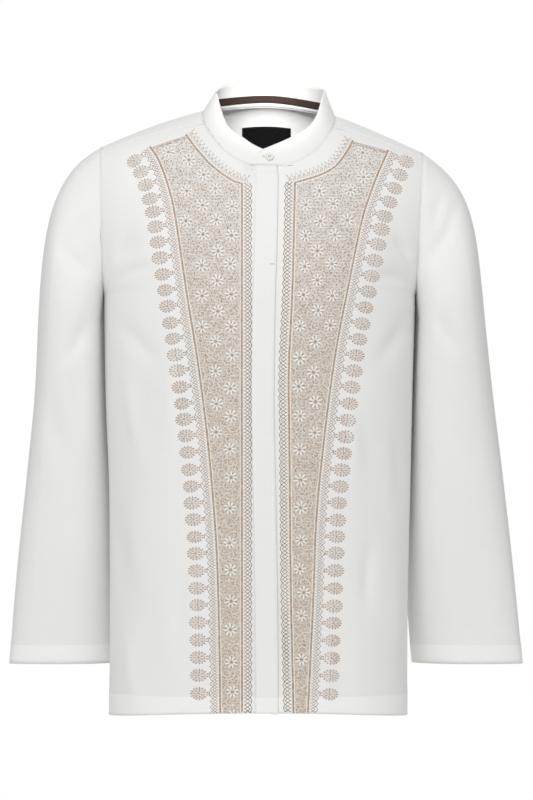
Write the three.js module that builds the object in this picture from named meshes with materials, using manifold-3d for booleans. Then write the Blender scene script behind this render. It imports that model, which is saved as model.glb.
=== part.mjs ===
// A man's koko shirt: long sleeves, a stand collar, a shoulder yoke and a fly placket down the
// front, hollow as it is when it is worn. Millimetres, +Z up. The front faces -Y and the wearer's
// left is +X. The origin is the middle of the neck's base, level with the tops of the shoulders.
//
// The body is one smooth surface. A section of it runs from the centre line out to the side seam
// or the armhole, and the sections follow each other from the front hem over the shoulder down to
// the back hem. A place on it is a station, which is a row of PROFILE, and a reach, which goes
// from 0 on the centre line to 1 at the seam. Each panel is a wall cut out of that surface.

import * as THREE from 'three';
import { mergeVertices } from 'three/addons/utils/BufferGeometryUtils.js';
import Module from 'manifold-3d';

// ---------------------------------------------------------------- driving dimensions

const CLOTH = 1.2; // one ply of shirting with its seam allowances
const COLLAR_CLOTH = 2.0; // two plies and a stiffener
const PLACKET_CLOTH = 1.3;
const SEAM_GAP = 0.3; // between two pieces that are sewn together
const HEM_DEPTH = 30; // turned up at the foot of the body
const CUFF_DEPTH = 26; // turned up at the end of the sleeve
const HEM_STEP = 0.6; // how far a turned-up hem stands out

const OVERLAP = 12.4; // the left front and the placket pass the centre line by this much
const UNDERLAP = 11; // and the right front passes it underneath
const PLACKET_EDGE = 14.1; // the placket's sewn edge, left of the centre line

const NECK = { middleX: 3.5, middleY: -9, halfWidth: 85, frontDepth: 66.9, backDepth: 60 };
const NECK_SQUARENESS = 2.3; // of the front half: 2 would be an ellipse
const NECK_STEPS = 8; // rows of a front between its centre edge and the yoke, along the neckline
const NECK_STRAIGHT = 20; // the neckline runs straight across the front, this far to both sides
const ARMHOLE = { bottomZ: -234, middleY: 4, frontReach: 57, backReach: 60 };
const FRONT_YOKE_SEAM = 9.2; // stations
const BACK_YOKE_SEAM = 12.6;
const RIDGE = 10;
const FRONT_ARMPIT = 4;
const BACK_ARMPIT = 16;
const LAST_STATION = 20;

const TAPE = { fromAngle: 99, toAngle: 261, aboveFoot: 4.6, width: 9.2, thickness: 1 };
const LABEL = { left: 32, right: -31, topZ: -14, bottomZ: -46, thickness: 1 };
const BUTTON = { radius: 5.4, thickness: 2.4, rim: 0.9, dish: 0.5, holes: 4, holeRadius: 0.7, holeOffset: 1.5 };
const BUTTON_ANGLE = 0.5; // degrees round the neck
const BUTTON_HEIGHT = 0.39; // share of the collar's height
const BUTTON_SHANK = 0.9; // how far its thread holds it off the collar

const SHIRTING = { color: 0xeeeeec, roughness: 0.85, metalness: 0 };
const TRIM_BROWN = { color: 0x43352f, roughness: 0.8, metalness: 0 };
const LABEL_BLACK = { color: 0x121314, roughness: 0.7, metalness: 0 };
const SHELL_WHITE = { color: 0xf4f3f0, roughness: 0.25, metalness: 0 };

// The two sides hang a little differently, so each has its own shoulder tip.
const SIDES = {
  right: { name: 'right', sign: -1, tipX: 209, tipZ: -44, capTilt: 24, capReach: 72 },
  left: { name: 'left', sign: 1, tipX: 198, tipZ: -51, capTilt: 30, capReach: 84 },
};

// The side seam from hem to armpit: its height and its distance from the centre line.
const SIDE_SEAM_Y = 4;
const SIDE_SEAM = [
  { z: -765, right: 199, left: 179 },
  { z: -620, right: 198.5, left: 180 },
  { z: -490, right: 199, left: 183 },
  { z: -360, right: 204, left: 186 },
  { z: -234, right: 206, left: 190 },
];

// One row a station, from the front hem to the back hem. y and z: the centre line. flat: the share
// of the half width over which the section runs straight across. turn: degrees that it has turned
// by at its seam. hug and fall: how long it keeps that direction, and how much it drops there.
// bow: how far the fronts' edges and the placket swing to the right of the centre line.
const PROFILE = [
  { at: 'front hem', y: -116, z: -757, flat: 0.62, turn: 90, hug: 82, fall: 0, bow: 0 },
  { at: 'front hip', y: -117, z: -622, flat: 0.62, turn: 90, hug: 82, fall: 0, bow: -1 },
  { at: 'front waist', y: -119, z: -492, flat: 0.61, turn: 90, hug: 82, fall: 0, bow: -3 },
  { at: 'front midriff', y: -122, z: -362, flat: 0.6, turn: 90, hug: 84, fall: 0, bow: -5.5 },
  { at: 'front armpit', y: -124, z: -240, flat: 0.6, turn: 90, hug: 84, fall: 0, bow: -4, corner: true },
  { at: 'front low armhole', y: -123.5, z: -224, flat: 0.53, turn: 72.5, hug: 68, fall: 0, bow: -3.5 },
  { at: 'front chest', y: -119, z: -188, flat: 0.48, turn: 59, hug: 57, fall: 0, bow: -2 },
  { at: 'front armhole', y: -107, z: -138, flat: 0.47, turn: 44, hug: 52, fall: -0.05, bow: -1 },
  { at: 'front neck', y: -80, z: -80, flat: 0.42, turn: 32, hug: 52, fall: -0.2, bow: 0 },
  { at: 'front shoulder', y: -40, z: -19, flat: 0.36, turn: 17, hug: 58, fall: -0.4, bow: 0 },
  { at: 'ridge', y: 8, z: 11.5, flat: 0.34, turn: 0, hug: 64, fall: -0.45, bow: 0 },
  { at: 'back shoulder', y: 54, z: 9, flat: 0.36, turn: -18, hug: 58, fall: -0.4, bow: 0 },
  { at: 'back neck', y: 90, z: -48, flat: 0.44, turn: -32, hug: 54, fall: -0.2, bow: 0 },
  { at: 'back armhole', y: 105, z: -120, flat: 0.48, turn: -44, hug: 52, fall: -0.05, bow: 0 },
  { at: 'back chest', y: 112, z: -184, flat: 0.48, turn: -57, hug: 55, fall: 0, bow: 0 },
  { at: 'back low armhole', y: 113, z: -223, flat: 0.52, turn: -69, hug: 62, fall: 0, bow: 0 },
  { at: 'back armpit', y: 113, z: -240, flat: 0.6, turn: -90, hug: 80, fall: 0, bow: 0, corner: true },
  { at: 'back midriff', y: 109, z: -362, flat: 0.6, turn: -90, hug: 78, fall: 0, bow: 0 },
  { at: 'back waist', y: 106, z: -492, flat: 0.61, turn: -90, hug: 76, fall: 0, bow: 0 },
  { at: 'back hip', y: 110, z: -622, flat: 0.62, turn: -90, hug: 78, fall: 0, bow: 0 },
  { at: 'back hem', y: 114, z: -765, flat: 0.62, turn: -90, hug: 80, fall: 0, bow: 0 },
];

// The sleeve's sections from under the arm to the cuff. inner and outer: distances from the centre
// line on each side. y: the section's middle. depth: half its thickness from front to back.
// tuck: how far its inner edge is pulled back behind the body.
const SLEEVE = [
  { z: -268, innerRight: 209, innerLeft: 193, outerRight: 290, outerLeft: 279, y: 10, depth: 70, tuck: 0 },
  { z: -350, innerRight: 207, innerLeft: 189, outerRight: 294, outerLeft: 288, y: 18, depth: 62, tuck: 6 },
  { z: -460, innerRight: 202, innerLeft: 186, outerRight: 305, outerLeft: 302, y: 26, depth: 50, tuck: 12 },
  { z: -590, innerRight: 196, innerLeft: 184, outerRight: 319, outerLeft: 317, y: 34, depth: 38, tuck: 20 },
  { z: -702, innerRight: 192, innerLeft: 192, outerRight: 328, outerLeft: 328, y: 38, depth: 28, tuck: 26 },
];
const SLEEVE_SQUARENESS = 2.5;

// Soft folds. Each runs from one point to the other, as seen from the front, on the face that it
// names; width is its half width and depth is how far it sinks in, or stands out if it is negative.
const FOLDS = [
  { on: 'front', fromX: -164, fromZ: -140, toX: -186, toZ: -206, width: 12, depth: 3 },
  { on: 'front', fromX: -134, fromZ: -268, toX: -180, toZ: -424, width: 20, depth: 4.5 },
  { on: 'front', fromX: -122, fromZ: -420, toX: -140, toZ: -560, width: 18, depth: 2 },
  { on: 'front', fromX: -150, fromZ: -600, toX: -142, toZ: -752, width: 22, depth: 3 },
  { on: 'front', fromX: 148, fromZ: -142, toX: 178, toZ: -216, width: 11, depth: 3.5 },
  { on: 'front', fromX: 126, fromZ: -390, toX: 152, toZ: -548, width: 17, depth: 4.5 },
  { on: 'front', fromX: 110, fromZ: -480, toX: 126, toZ: -650, width: 20, depth: 2.5 },
  { on: 'back', fromX: -150, fromZ: -150, toX: -120, toZ: -330, width: 20, depth: 3.5 },
  { on: 'back', fromX: -90, fromZ: -300, toX: -110, toZ: -752, width: 34, depth: 6 },
  { on: 'back', fromX: 5, fromZ: -380, toX: 15, toZ: -752, width: 30, depth: -5 },
  { on: 'back', fromX: 96, fromZ: -280, toX: 110, toZ: -752, width: 32, depth: 6 },
  { on: 'back', fromX: 150, fromZ: -150, toX: 122, toZ: -330, width: 20, depth: 3.5 },
  { on: 'front', fromX: -214, fromZ: -210, toX: -252, toZ: -140, width: 12, depth: 3 },
  { on: 'front', fromX: -222, fromZ: -240, toX: -240, toZ: -330, width: 12, depth: 2.5 },
  { on: 'front', fromX: 202, fromZ: -200, toX: 222, toZ: -120, width: 11, depth: 3.5 },
  { on: 'front', fromX: 212, fromZ: -240, toX: 224, toZ: -420, width: 14, depth: 3 },
  { on: 'back', fromX: -212, fromZ: -200, toX: -252, toZ: -130, width: 14, depth: 3 },
  { on: 'back', fromX: 204, fromZ: -200, toX: 240, toZ: -130, width: 14, depth: 3 },
];

const COLLAR_CORNER_RADIUS = 5;

// The collar's band round the neck, from its left end past the wearer's left side and the back to
// its right end. rise and lean: how far its top edge lies above and inside its foot.
const COLLAR_PROFILE = [
  { degrees: -9, rise: 16, lean: 9.5 },
  { degrees: 8, rise: 29.5, lean: 17 },
  { degrees: 20, rise: 32, lean: 16 },
  { degrees: 32, rise: 31, lean: 16 },
  { degrees: 45, rise: 27.5, lean: 15 },
  { degrees: 55, rise: 26.5, lean: 14.5 },
  { degrees: 65, rise: 29, lean: 15 },
  { degrees: 80, rise: 31, lean: 16 },
  { degrees: 100, rise: 31.5, lean: 12 },
  { degrees: 125, rise: 32.5, lean: 7 },
  { degrees: 155, rise: 32.5, lean: 4 },
  { degrees: 180, rise: 31.5, lean: 2 },
  { degrees: 205, rise: 32, lean: 3 },
  { degrees: 230, rise: 29.5, lean: 6 },
  { degrees: 245, rise: 24.5, lean: 11 },
  { degrees: 260, rise: 22.5, lean: 15 },
  { degrees: 275, rise: 29, lean: 18 },
  { degrees: 287, rise: 30, lean: 18.5 },
  { degrees: 300, rise: 28, lean: 17 },
  { degrees: 313, rise: 24.5, lean: 16 },
  { degrees: 322, rise: 26, lean: 16 },
  { degrees: 335, rise: 29, lean: 16 },
  { degrees: 345, rise: 26, lean: 17 },
  { degrees: 368, rise: 14, lean: 8 },
];

// ---------------------------------------------------------------- small tools

const radians = THREE.MathUtils.degToRad;
const mix = THREE.MathUtils.lerp;
const point = (x, y, z) => new THREE.Vector3(x, y, z);
const blend = (a, b, share) => a.clone().lerp(b, share);

// count + 1 evenly spaced numbers from first to last.
const spread = (first, last, count) => Array.from({ length: count + 1 }, (_, i) => mix(first, last, i / count));

// A column's value between two rows of a table, smooth and with no overshoot, except that it may
// turn sharply at a row marked as a corner.
function between(rows, column, at) {
  const low = THREE.MathUtils.clamp(Math.floor(at), 0, rows.length - 2);
  const share = at - low;
  const step = (row) => rows[row + 1][column] - rows[row][column];
  const slope = (row) => {
    if (row === 0 || row === rows.length - 1 || rows[row].corner) return step(low);
    const product = step(row - 1) * step(row);
    return product <= 0 ? 0 : (2 * product) / (step(row - 1) + step(row));
  };
  const rise = step(low);
  const bend = slope(low) + slope(low + 1) - 2 * rise;
  return rows[low][column] + share * (slope(low) + share * (rise - slope(low) - bend + share * bend));
}

// The value from low to high where rising(value) reaches target.
function solve(rising, target, low, high) {
  for (let i = 0; i < 40; i++) {
    const middle = (low + high) / 2;
    if (rising(middle) < target) low = middle;
    else high = middle;
  }
  return (low + high) / 2;
}

function bezier(a, b, c, d, share) {
  const rest = 1 - share;
  return point(0, 0, 0)
    .addScaledVector(a, rest ** 3)
    .addScaledVector(b, 3 * rest * rest * share)
    .addScaledVector(c, 3 * rest * share * share)
    .addScaledVector(d, share ** 3);
}

// How far the folds push the cloth in at a place.
function foldDepth(place, isBack) {
  let depth = 0;
  for (const fold of FOLDS) {
    if ((fold.on === 'back') !== isBack) continue;
    const along = point(fold.toX - fold.fromX, 0, fold.toZ - fold.fromZ);
    const reach = point(place.x - fold.fromX, 0, place.z - fold.fromZ);
    const share = reach.dot(along) / along.lengthSq();
    if (share < 0 || share > 1) continue;
    const off = reach.addScaledVector(along, -share).length() / fold.width;
    depth += fold.depth * Math.exp(-off * off) * Math.sin(Math.PI * Math.min(1, share)) ** 0.8;
  }
  return depth;
}

// A closed wall between two grids of points. A round one joins its last column to its first.
function wall(outer, inner, isRound = false) {
  const rows = outer.length;
  const columns = outer[0].length;
  const positions = [outer, inner].flat(2).flatMap((p) => [p.x, p.y, p.z]);
  const at = (layer, row, column) => (layer * rows + row) * columns + (column % columns);
  const index = [];
  const quad = (a, b, c, d) => index.push(a, b, c, a, c, d);
  const width = isRound ? columns : columns - 1;
  for (let c = 0; c < width; c++) {
    for (let r = 0; r < rows - 1; r++) {
      quad(at(0, r, c), at(0, r, c + 1), at(0, r + 1, c + 1), at(0, r + 1, c));
      quad(at(1, r, c), at(1, r + 1, c), at(1, r + 1, c + 1), at(1, r, c + 1));
    }
    quad(at(0, 0, c), at(1, 0, c), at(1, 0, c + 1), at(0, 0, c + 1));
    quad(at(0, rows - 1, c), at(0, rows - 1, c + 1), at(1, rows - 1, c + 1), at(1, rows - 1, c));
  }
  for (let r = 0; r < rows - 1 && !isRound; r++) {
    quad(at(0, r, 0), at(0, r + 1, 0), at(1, r + 1, 0), at(1, r, 0));
    quad(at(0, r, width), at(1, r, width), at(1, r + 1, width), at(0, r + 1, width));
  }
  if (volume(positions, index) < 0) index.reverse();
  const geometry = new THREE.BufferGeometry();
  geometry.setAttribute('position', new THREE.Float32BufferAttribute(positions, 3));
  geometry.setIndex(index);
  geometry.computeVertexNormals();
  return geometry;
}

function volume(positions, index) {
  const corner = (i) => point(...positions.slice(3 * index[i], 3 * index[i] + 3));
  let total = 0;
  for (let i = 0; i < index.length; i += 3) total += corner(i).dot(corner(i + 1).cross(corner(i + 2))) / 6;
  return total;
}

// Draws a grid's border in by half a seam gap, on the sides that are named.
function drawIn(grid, sides) {
  const pull = (p, towards) => p.add(towards.clone().sub(p).setLength(SEAM_GAP / 2));
  const last = grid.length - 1;
  const end = grid[0].length - 1;
  if (sides.first) grid[0].forEach((p, c) => pull(p, grid[1][c]));
  if (sides.last) grid[last].forEach((p, c) => pull(p, grid[last - 1][c]));
  if (sides.start) grid.forEach((row) => pull(row[0], row[1]));
  if (sides.end) grid.forEach((row) => pull(row[end], row[end - 1]));
  return grid;
}

function piece(name, geometry, finish) {
  const mesh = new THREE.Mesh(geometry, new THREE.MeshStandardMaterial(finish));
  mesh.name = name;
  return mesh;
}

// ---------------------------------------------------------------- the body's surface

// Where a station lies on the armhole's oval: -90 degrees at the armpit, 90 at the shoulder tip.
const armholeAngle = (station) => radians((180 * (station - FRONT_ARMPIT)) / (RIDGE - FRONT_ARMPIT) - 90);

// The end of a section: on the side seam below the armpit, and on the armhole above it.
function seamPoint(side, station) {
  const seamRow = Math.min(station, LAST_STATION - station);
  if (seamRow <= FRONT_ARMPIT) {
    const x = side.sign * between(SIDE_SEAM, side.name, seamRow);
    return point(x, SIDE_SEAM_Y, between(SIDE_SEAM, 'z', seamRow));
  }
  const angle = armholeAngle(station);
  const height = (1 + Math.sin(angle)) / 2;
  const reach = station < RIDGE ? ARMHOLE.frontReach : ARMHOLE.backReach;
  return point(
    side.sign * mix(SIDE_SEAM[FRONT_ARMPIT][side.name], side.tipX, height),
    ARMHOLE.middleY - reach * Math.cos(angle),
    mix(ARMHOLE.bottomZ, side.tipZ, height),
  );
}

function bodyPoint(side, station, reach) {
  const row = (column) => between(PROFILE, column, station);
  const centre = point(0, row('y'), row('z'));
  const seam = seamPoint(side, station);
  const turn = radians(row('turn'));
  const across = point(row('flat') * seam.x, 0, 0).add(centre);
  const arriving = point(side.sign * Math.cos(turn), Math.sin(turn), row('fall'));
  return bezier(centre, across, seam.clone().addScaledVector(arriving, -row('hug')), seam, reach);
}

// Outward at a place on the body.
function bodyNormal(side, station, reach) {
  const small = 0.01;
  const lower = Math.max(0, station - small);
  const upper = Math.min(LAST_STATION, station + small);
  const along = bodyPoint(side, upper, reach).sub(bodyPoint(side, lower, reach));
  const across = bodyPoint(side, station, Math.min(1, reach + small)).sub(bodyPoint(side, station, reach - small));
  return across.cross(along).multiplyScalar(side.sign).normalize();
}

// The cloth at a place on the body, with its folds, and moved out by lift.
function cloth({ side, station, reach }, lift = 0) {
  const place = bodyPoint(side, station, reach);
  const sunk = foldDepth(place, station > RIDGE);
  return place.addScaledVector(bodyNormal(side, station, reach), lift - sunk);
}

// The reach at which a station's section is x from the centre line, on that side.
const reachAt = (side, station, x) =>
  solve((reach) => side.sign * bodyPoint(side, station, reach).x, side.sign * x, -0.2, 1);

// The station at which the centre line is at a height, on the front or the back.
const frontStation = (z) => solve((station) => between(PROFILE, 'z', station), z, 0, FRONT_YOKE_SEAM);
const backStation = (z) => solve((station) => -between(PROFILE, 'z', station), -z, RIDGE, LAST_STATION);

// A place on the neckline: 0 degrees at the centre front, 90 at the wearer's left, 180 at the back.
function neckPlace(degrees) {
  const angle = radians(degrees);
  const isFront = Math.cos(angle) > 0;
  const round = (part) => Math.sign(part) * Math.abs(part) ** (isFront ? 2 / NECK_SQUARENESS : 1);
  const x = NECK.middleX + NECK.halfWidth * round(Math.sin(angle));
  const y = NECK.middleY - (isFront ? NECK.frontDepth : NECK.backDepth) * round(Math.cos(angle));
  const side = x < 0 ? SIDES.right : SIDES.left;
  const station = solve((s) => bodyPoint(side, s, reachAt(side, s, x)).y, y, FRONT_ARMPIT, BACK_ARMPIT);
  return { side, station, reach: reachAt(side, station, x) };
}

// The angle of the neckline where it passes x on the front, and where it meets the yoke's seam.
const neckAngleAt = (x) => {
  const share = (x - NECK.middleX) / NECK.halfWidth;
  const round = Math.sign(share) * Math.abs(share) ** (NECK_SQUARENESS / 2);
  return THREE.MathUtils.radToDeg(Math.asin(round));
};
const yokeAngle = (side) =>
  side.sign * solve((angle) => neckPlace(side.sign * angle).station, FRONT_YOKE_SEAM, 30, 100);

// The angles of a front's corners along the neckline, from its centre edge out to the yoke's seam.
const frontNeckAngles = (side, edgeX) => [
  neckAngleAt(edgeX),
  ...spread(neckAngleAt(side.sign * NECK_STRAIGHT), yokeAngle(side), NECK_STEPS - 1),
];

// ---------------------------------------------------------------- stations shared by the pieces

// Both sides of a seam use the same stations, so that their edges stay parallel.
const hemStation = frontStation(PROFILE[0].z + HEM_DEPTH);
const HEM_STATIONS = [0, hemStation / 2, hemStation, hemStation + 0.015];
const SIDE_STATIONS = [...HEM_STATIONS, ...spread(0.5, FRONT_ARMPIT, 15)];
const FRONT_ARMHOLE_STATIONS = spread(FRONT_ARMPIT, 8, 8);
const YOKE_ARMHOLE_STATIONS = [
  ...spread(FRONT_YOKE_SEAM, RIDGE, 2),
  ...spread(RIDGE, BACK_YOKE_SEAM, 5).slice(1),
];
const BACK_ARMHOLE_STATIONS = spread(BACK_YOKE_SEAM, BACK_ARMPIT, 7);
const YOKE_BACK_STEPS = 20;
const hemLift = (station) => (Math.min(station, LAST_STATION - station) <= hemStation ? HEM_STEP : 0);

// A wall of cloth through a grid of places. lift(place) moves its outer face out.
function panel(places, sides, lift, thickness = CLOTH) {
  const layer = (depth) => {
    const grid = places.map((row) => row.map((place) => cloth(place, lift(place) - depth)));
    return drawIn(grid, sides);
  };
  return wall(layer(0), layer(thickness));
}

// ---------------------------------------------------------------- fronts

// A place x from the centre line, on a side's surface, where the centre line bows.
const edgePlace = (side, station, x) => ({
  side,
  station,
  reach: reachAt(side, station, x + between(PROFILE, 'bow', station)),
});

// A place on the straight part of the neckline, where the fronts' centre edges meet it.
function neckCorner(side, x) {
  const ends = [-NECK_STRAIGHT, NECK_STRAIGHT].map((end) => neckPlace(neckAngleAt(end)).station);
  return edgePlace(side, mix(...ends, (x + NECK_STRAIGHT) / (2 * NECK_STRAIGHT)), x);
}

// The rows of places of a front, from the hem to the yoke: each runs from the centre edge or the
// neckline out to the side seam or the armhole.
function frontPlaces(side, edgeX, columns) {
  const corner = neckCorner(side, edgeX);
  const stations = [...SIDE_STATIONS, ...FRONT_ARMHOLE_STATIONS.slice(1)];
  const rows = stations.map((station) => ({
    inner: edgePlace(side, Math.min(station, corner.station), edgeX),
    outer: { station, reach: 1 },
  }));
  const armholeEnd = stations.at(-1);
  rows.at(-1).inner = corner;
  frontNeckAngles(side, edgeX).slice(1).forEach((angle, i) => {
    const station = mix(armholeEnd, FRONT_YOKE_SEAM, (i + 1) / NECK_STEPS);
    rows.push({ inner: neckPlace(angle), outer: { station, reach: 1 } });
  });
  return rows.map(({ inner, outer }) =>
    spread(0, 1, columns).map((share) => ({
      side,
      station: mix(inner.station, outer.station, share),
      reach: mix(inner.reach, outer.reach, share),
    })),
  );
}

const FRONT_COLUMNS = 14;
const FRONT_SEAMS = { last: true, end: true };

function leftFront() {
  const places = frontPlaces(SIDES.left, -OVERLAP, FRONT_COLUMNS);
  return panel(places, FRONT_SEAMS, ({ station }) => hemLift(station));
}

// The right front dips under the left one near the centre line.
const UNDER_DEPTH = CLOTH + HEM_STEP + SEAM_GAP;
const UNDER_STARTS = -OVERLAP - 24;
const UNDER_ENDS = -OVERLAP - 4;

function rightFront() {
  const places = frontPlaces(SIDES.right, UNDERLAP, FRONT_COLUMNS + 2);
  return panel(places, FRONT_SEAMS, (place) => {
    const { x } = bodyPoint(place.side, place.station, place.reach);
    const under = THREE.MathUtils.smoothstep(x, UNDER_STARTS, UNDER_ENDS);
    return mix(hemLift(place.station), -UNDER_DEPTH, under);
  });
}

// ---------------------------------------------------------------- placket

// A strip sewn over the left front's edge, which hides the buttons below the collar.
function placket() {
  const side = SIDES.left;
  const columns = spread(-OVERLAP, PLACKET_EDGE, 3);
  const stations = [...SIDE_STATIONS, ...FRONT_ARMHOLE_STATIONS.slice(1)];
  const top = columns.map((x) => neckCorner(side, x).station);
  const below = stations.filter((station) => station < Math.min(...top) - 0.2);
  const rows = [...below.map((station) => columns.map(() => station)), top];
  const places = rows.map((row) => row.map((station, c) => edgePlace(side, station, columns[c])));
  return panel(places, { last: true }, () => PLACKET_CLOTH + HEM_STEP + SEAM_GAP, PLACKET_CLOTH);
}

// ---------------------------------------------------------------- back and yoke

function back() {
  const below = SIDE_STATIONS.toReversed().map((station) => LAST_STATION - station);
  const stations = [...BACK_ARMHOLE_STATIONS, ...below.slice(1)];
  const shares = spread(-1, 1, YOKE_BACK_STEPS);
  const places = stations.map((station) =>
    shares.map((share) => ({ side: share < 0 ? SIDES.right : SIDES.left, station, reach: Math.abs(share) })),
  );
  return panel(places, { first: true, start: true, end: true }, ({ station }) => hemLift(station));
}

// The yoke is a collar-shaped piece. Its columns run from the neckline out to the armhole of one
// side, to the back seam, and to the armhole of the other side.
const YOKE_ROWS = 9;
const BACK_NECK_ANGLE = 118; // where the columns change from the armhole to the back seam

function yokeAngles() {
  const steps = YOKE_ARMHOLE_STATIONS.length - 1;
  return [
    ...spread(yokeAngle(SIDES.right) + 360, 360 - BACK_NECK_ANGLE, steps),
    ...spread(360 - BACK_NECK_ANGLE, BACK_NECK_ANGLE, YOKE_BACK_STEPS).slice(1),
    ...spread(BACK_NECK_ANGLE, yokeAngle(SIDES.left), steps).slice(1),
  ];
}

function yoke() {
  const outer = [
    ...YOKE_ARMHOLE_STATIONS.map((station) => ({ share: -1, station })),
    ...spread(-1, 1, YOKE_BACK_STEPS).slice(1).map((share) => ({ share, station: BACK_YOKE_SEAM })),
    ...YOKE_ARMHOLE_STATIONS.toReversed().slice(1).map((station) => ({ share: 1, station })),
  ];
  const columns = yokeAngles().map((angle, c) => {
    const neck = neckPlace(angle);
    const start = neck.side.sign * neck.reach;
    return spread(0, 1, YOKE_ROWS).map((share) => {
      const reach = mix(start, outer[c].share, share);
      return {
        side: reach < 0 ? SIDES.right : SIDES.left,
        station: mix(neck.station, outer[c].station, share),
        reach: Math.abs(reach),
      };
    });
  });
  return panel(columns, { first: true, last: true, end: true }, () => 0);
}

// ---------------------------------------------------------------- sleeves

// A lower sleeve section's point at an angle: -90 degrees at its inner edge, 0 at its front.
function sleeveSection(side, row, angle) {
  const value = (column) => between(SLEEVE, column, row);
  const name = side.name === 'left' ? 'Left' : 'Right';
  const inner = value(`inner${name}`);
  const outer = value(`outer${name}`);
  const round = (part) => Math.sign(part) * Math.abs(part) ** (2 / SLEEVE_SQUARENESS);
  const across = round(Math.sin(angle));
  const tuck = across < 0 ? value('tuck') * across * across : 0;
  return point(
    side.sign * ((inner + outer) / 2 + ((outer - inner) / 2) * across),
    value('y') - value('depth') * round(Math.cos(angle)) + tuck,
    value('z'),
  );
}

// The cap leaves the armhole outwards at the shoulder and straight down under the arm.
function sleeveCap(side, station, share) {
  const angle = armholeAngle(station);
  const height = (1 + Math.sin(angle)) / 2;
  const start = seamPoint(side, station).add(point(side.sign * SEAM_GAP, 0, 0));
  const finish = sleeveSection(side, 0, angle);
  const onwards = sleeveSection(side, 0.1, angle).sub(finish).normalize();
  const tilt = radians(mix(90, side.capTilt, height ** 0.7));
  const leaving = point(side.sign * Math.cos(tilt), 0, -Math.sin(tilt));
  const distance = start.distanceTo(finish);
  const reach = mix(distance / 3, side.capReach, height ** 2);
  return bezier(
    start,
    start.clone().addScaledVector(leaving, reach),
    finish.clone().addScaledVector(onwards, -distance * mix(0.33, 0.5, height)),
    finish,
    share,
  );
}

const CAP_ROWS = 7;
const cuffRow = SLEEVE.length - 1 - CUFF_DEPTH / (SLEEVE.at(-2).z - SLEEVE.at(-1).z);
const SLEEVE_ROWS = [...spread(0, cuffRow - 0.02, 13), cuffRow, SLEEVE.length - 1];
const SLEEVE_STATIONS = [
  ...FRONT_ARMHOLE_STATIONS,
  ...spread(8, FRONT_YOKE_SEAM, NECK_STEPS).slice(1),
  ...YOKE_ARMHOLE_STATIONS.slice(1),
  ...BACK_ARMHOLE_STATIONS.slice(1, -1),
];

function sleeve(side) {
  const capShares = spread(0, 1, CAP_ROWS).slice(0, -1);
  const plain = [
    ...capShares.map((share) => SLEEVE_STATIONS.map((s) => sleeveCap(side, s, share))),
    ...SLEEVE_ROWS.map((row) => SLEEVE_STATIONS.map((s) => sleeveSection(side, row, armholeAngle(s)))),
  ];
  const count = SLEEVE_STATIONS.length;
  const normal = (r, c) => {
    const down = plain[Math.min(r + 1, plain.length - 1)][c].clone().sub(plain[Math.max(r - 1, 0)][c]);
    const round = plain[r][(c + 1) % count].clone().sub(plain[r][(c + count - 1) % count]);
    return down.cross(round).multiplyScalar(side.sign).normalize();
  };
  const firstCuffRow = CAP_ROWS + SLEEVE_ROWS.indexOf(cuffRow);
  const layer = (depth) =>
    plain.map((row, r) =>
      row.map((p, c) => {
        const out = normal(r, c);
        const sunk = r > 0 ? foldDepth(p, out.y > 0) * Math.min(1, Math.abs(out.y) * 2) : 0;
        const lift = (r >= firstCuffRow ? HEM_STEP : 0) - depth - sunk;
        return p.clone().addScaledVector(out, lift);
      }),
    );
  return wall(layer(0), layer(CLOTH), true);
}

// ---------------------------------------------------------------- collar

function collarProfile(degrees, column) {
  const next = Math.max(1, COLLAR_PROFILE.findIndex((row) => row.degrees >= degrees));
  const from = COLLAR_PROFILE[next - 1].degrees;
  return between(COLLAR_PROFILE, column, next - 1 + (degrees - from) / (COLLAR_PROFILE[next].degrees - from));
}

// The right end passes under the left one over a few degrees, and both have a rounded top corner.
const COLLAR_UNDER_END = neckAngleAt(UNDERLAP);
const COLLAR_OVER_END = neckAngleAt(-OVERLAP);
const COLLAR_UNDER_STARTS = COLLAR_OVER_END - 16;
const COLLAR_UNDER_DONE = COLLAR_OVER_END - 3;
const CORNER_STEPS = [0.4, 1.6, 3.4]; // degrees from an end, where the round corner has its own columns
const COLLAR_ROWS = 3;

// The angles at which the fronts and the yoke have their own corners along the neckline.
const NECK_ANGLES = [
  ...frontNeckAngles(SIDES.left, -OVERLAP).slice(0, -1),
  ...yokeAngles().toReversed(),
  ...frontNeckAngles(SIDES.right, UNDERLAP).map((angle) => angle + 360).toReversed().slice(1),
];

// Between those the collar's foot runs straight, as the panels' edges do.
const neckPlaces = NECK_ANGLES.map(neckPlace);
neckPlaces.splice(0, 1, neckCorner(SIDES.left, -OVERLAP));
neckPlaces.splice(-1, 1, neckCorner(SIDES.right, UNDERLAP));
const NECK_FEET = neckPlaces.map((place) => cloth(place));
function neckFoot(degrees) {
  const next = Math.max(1, NECK_ANGLES.findIndex((angle) => angle >= degrees - 1e-6));
  const share = (degrees - NECK_ANGLES[next - 1]) / (NECK_ANGLES[next] - NECK_ANGLES[next - 1]);
  return blend(NECK_FEET[next - 1], NECK_FEET[next], share);
}

// A point of the collar's band at an angle round the neck: height goes from 0 at the neckline to 1
// at the top edge, and depth is measured in from its outer face.
function collarPoint(degrees, height, depth) {
  const angle = radians(degrees);
  const foot = neckFoot(degrees);
  const rise = collarProfile(degrees, 'rise');
  const lean = collarProfile(degrees, 'lean');
  const inward = point(-Math.sin(angle), Math.cos(angle), 0);
  const up = point(0, 0, rise).addScaledVector(inward, lean);
  const through = inward.clone().multiplyScalar(rise).add(point(0, 0, -lean)).normalize();
  const seat = up.clone().setLength(1.5 * SEAM_GAP);
  return foot.add(seat).addScaledVector(up, height).addScaledVector(through, depth + SEAM_GAP / 2);
}

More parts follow.
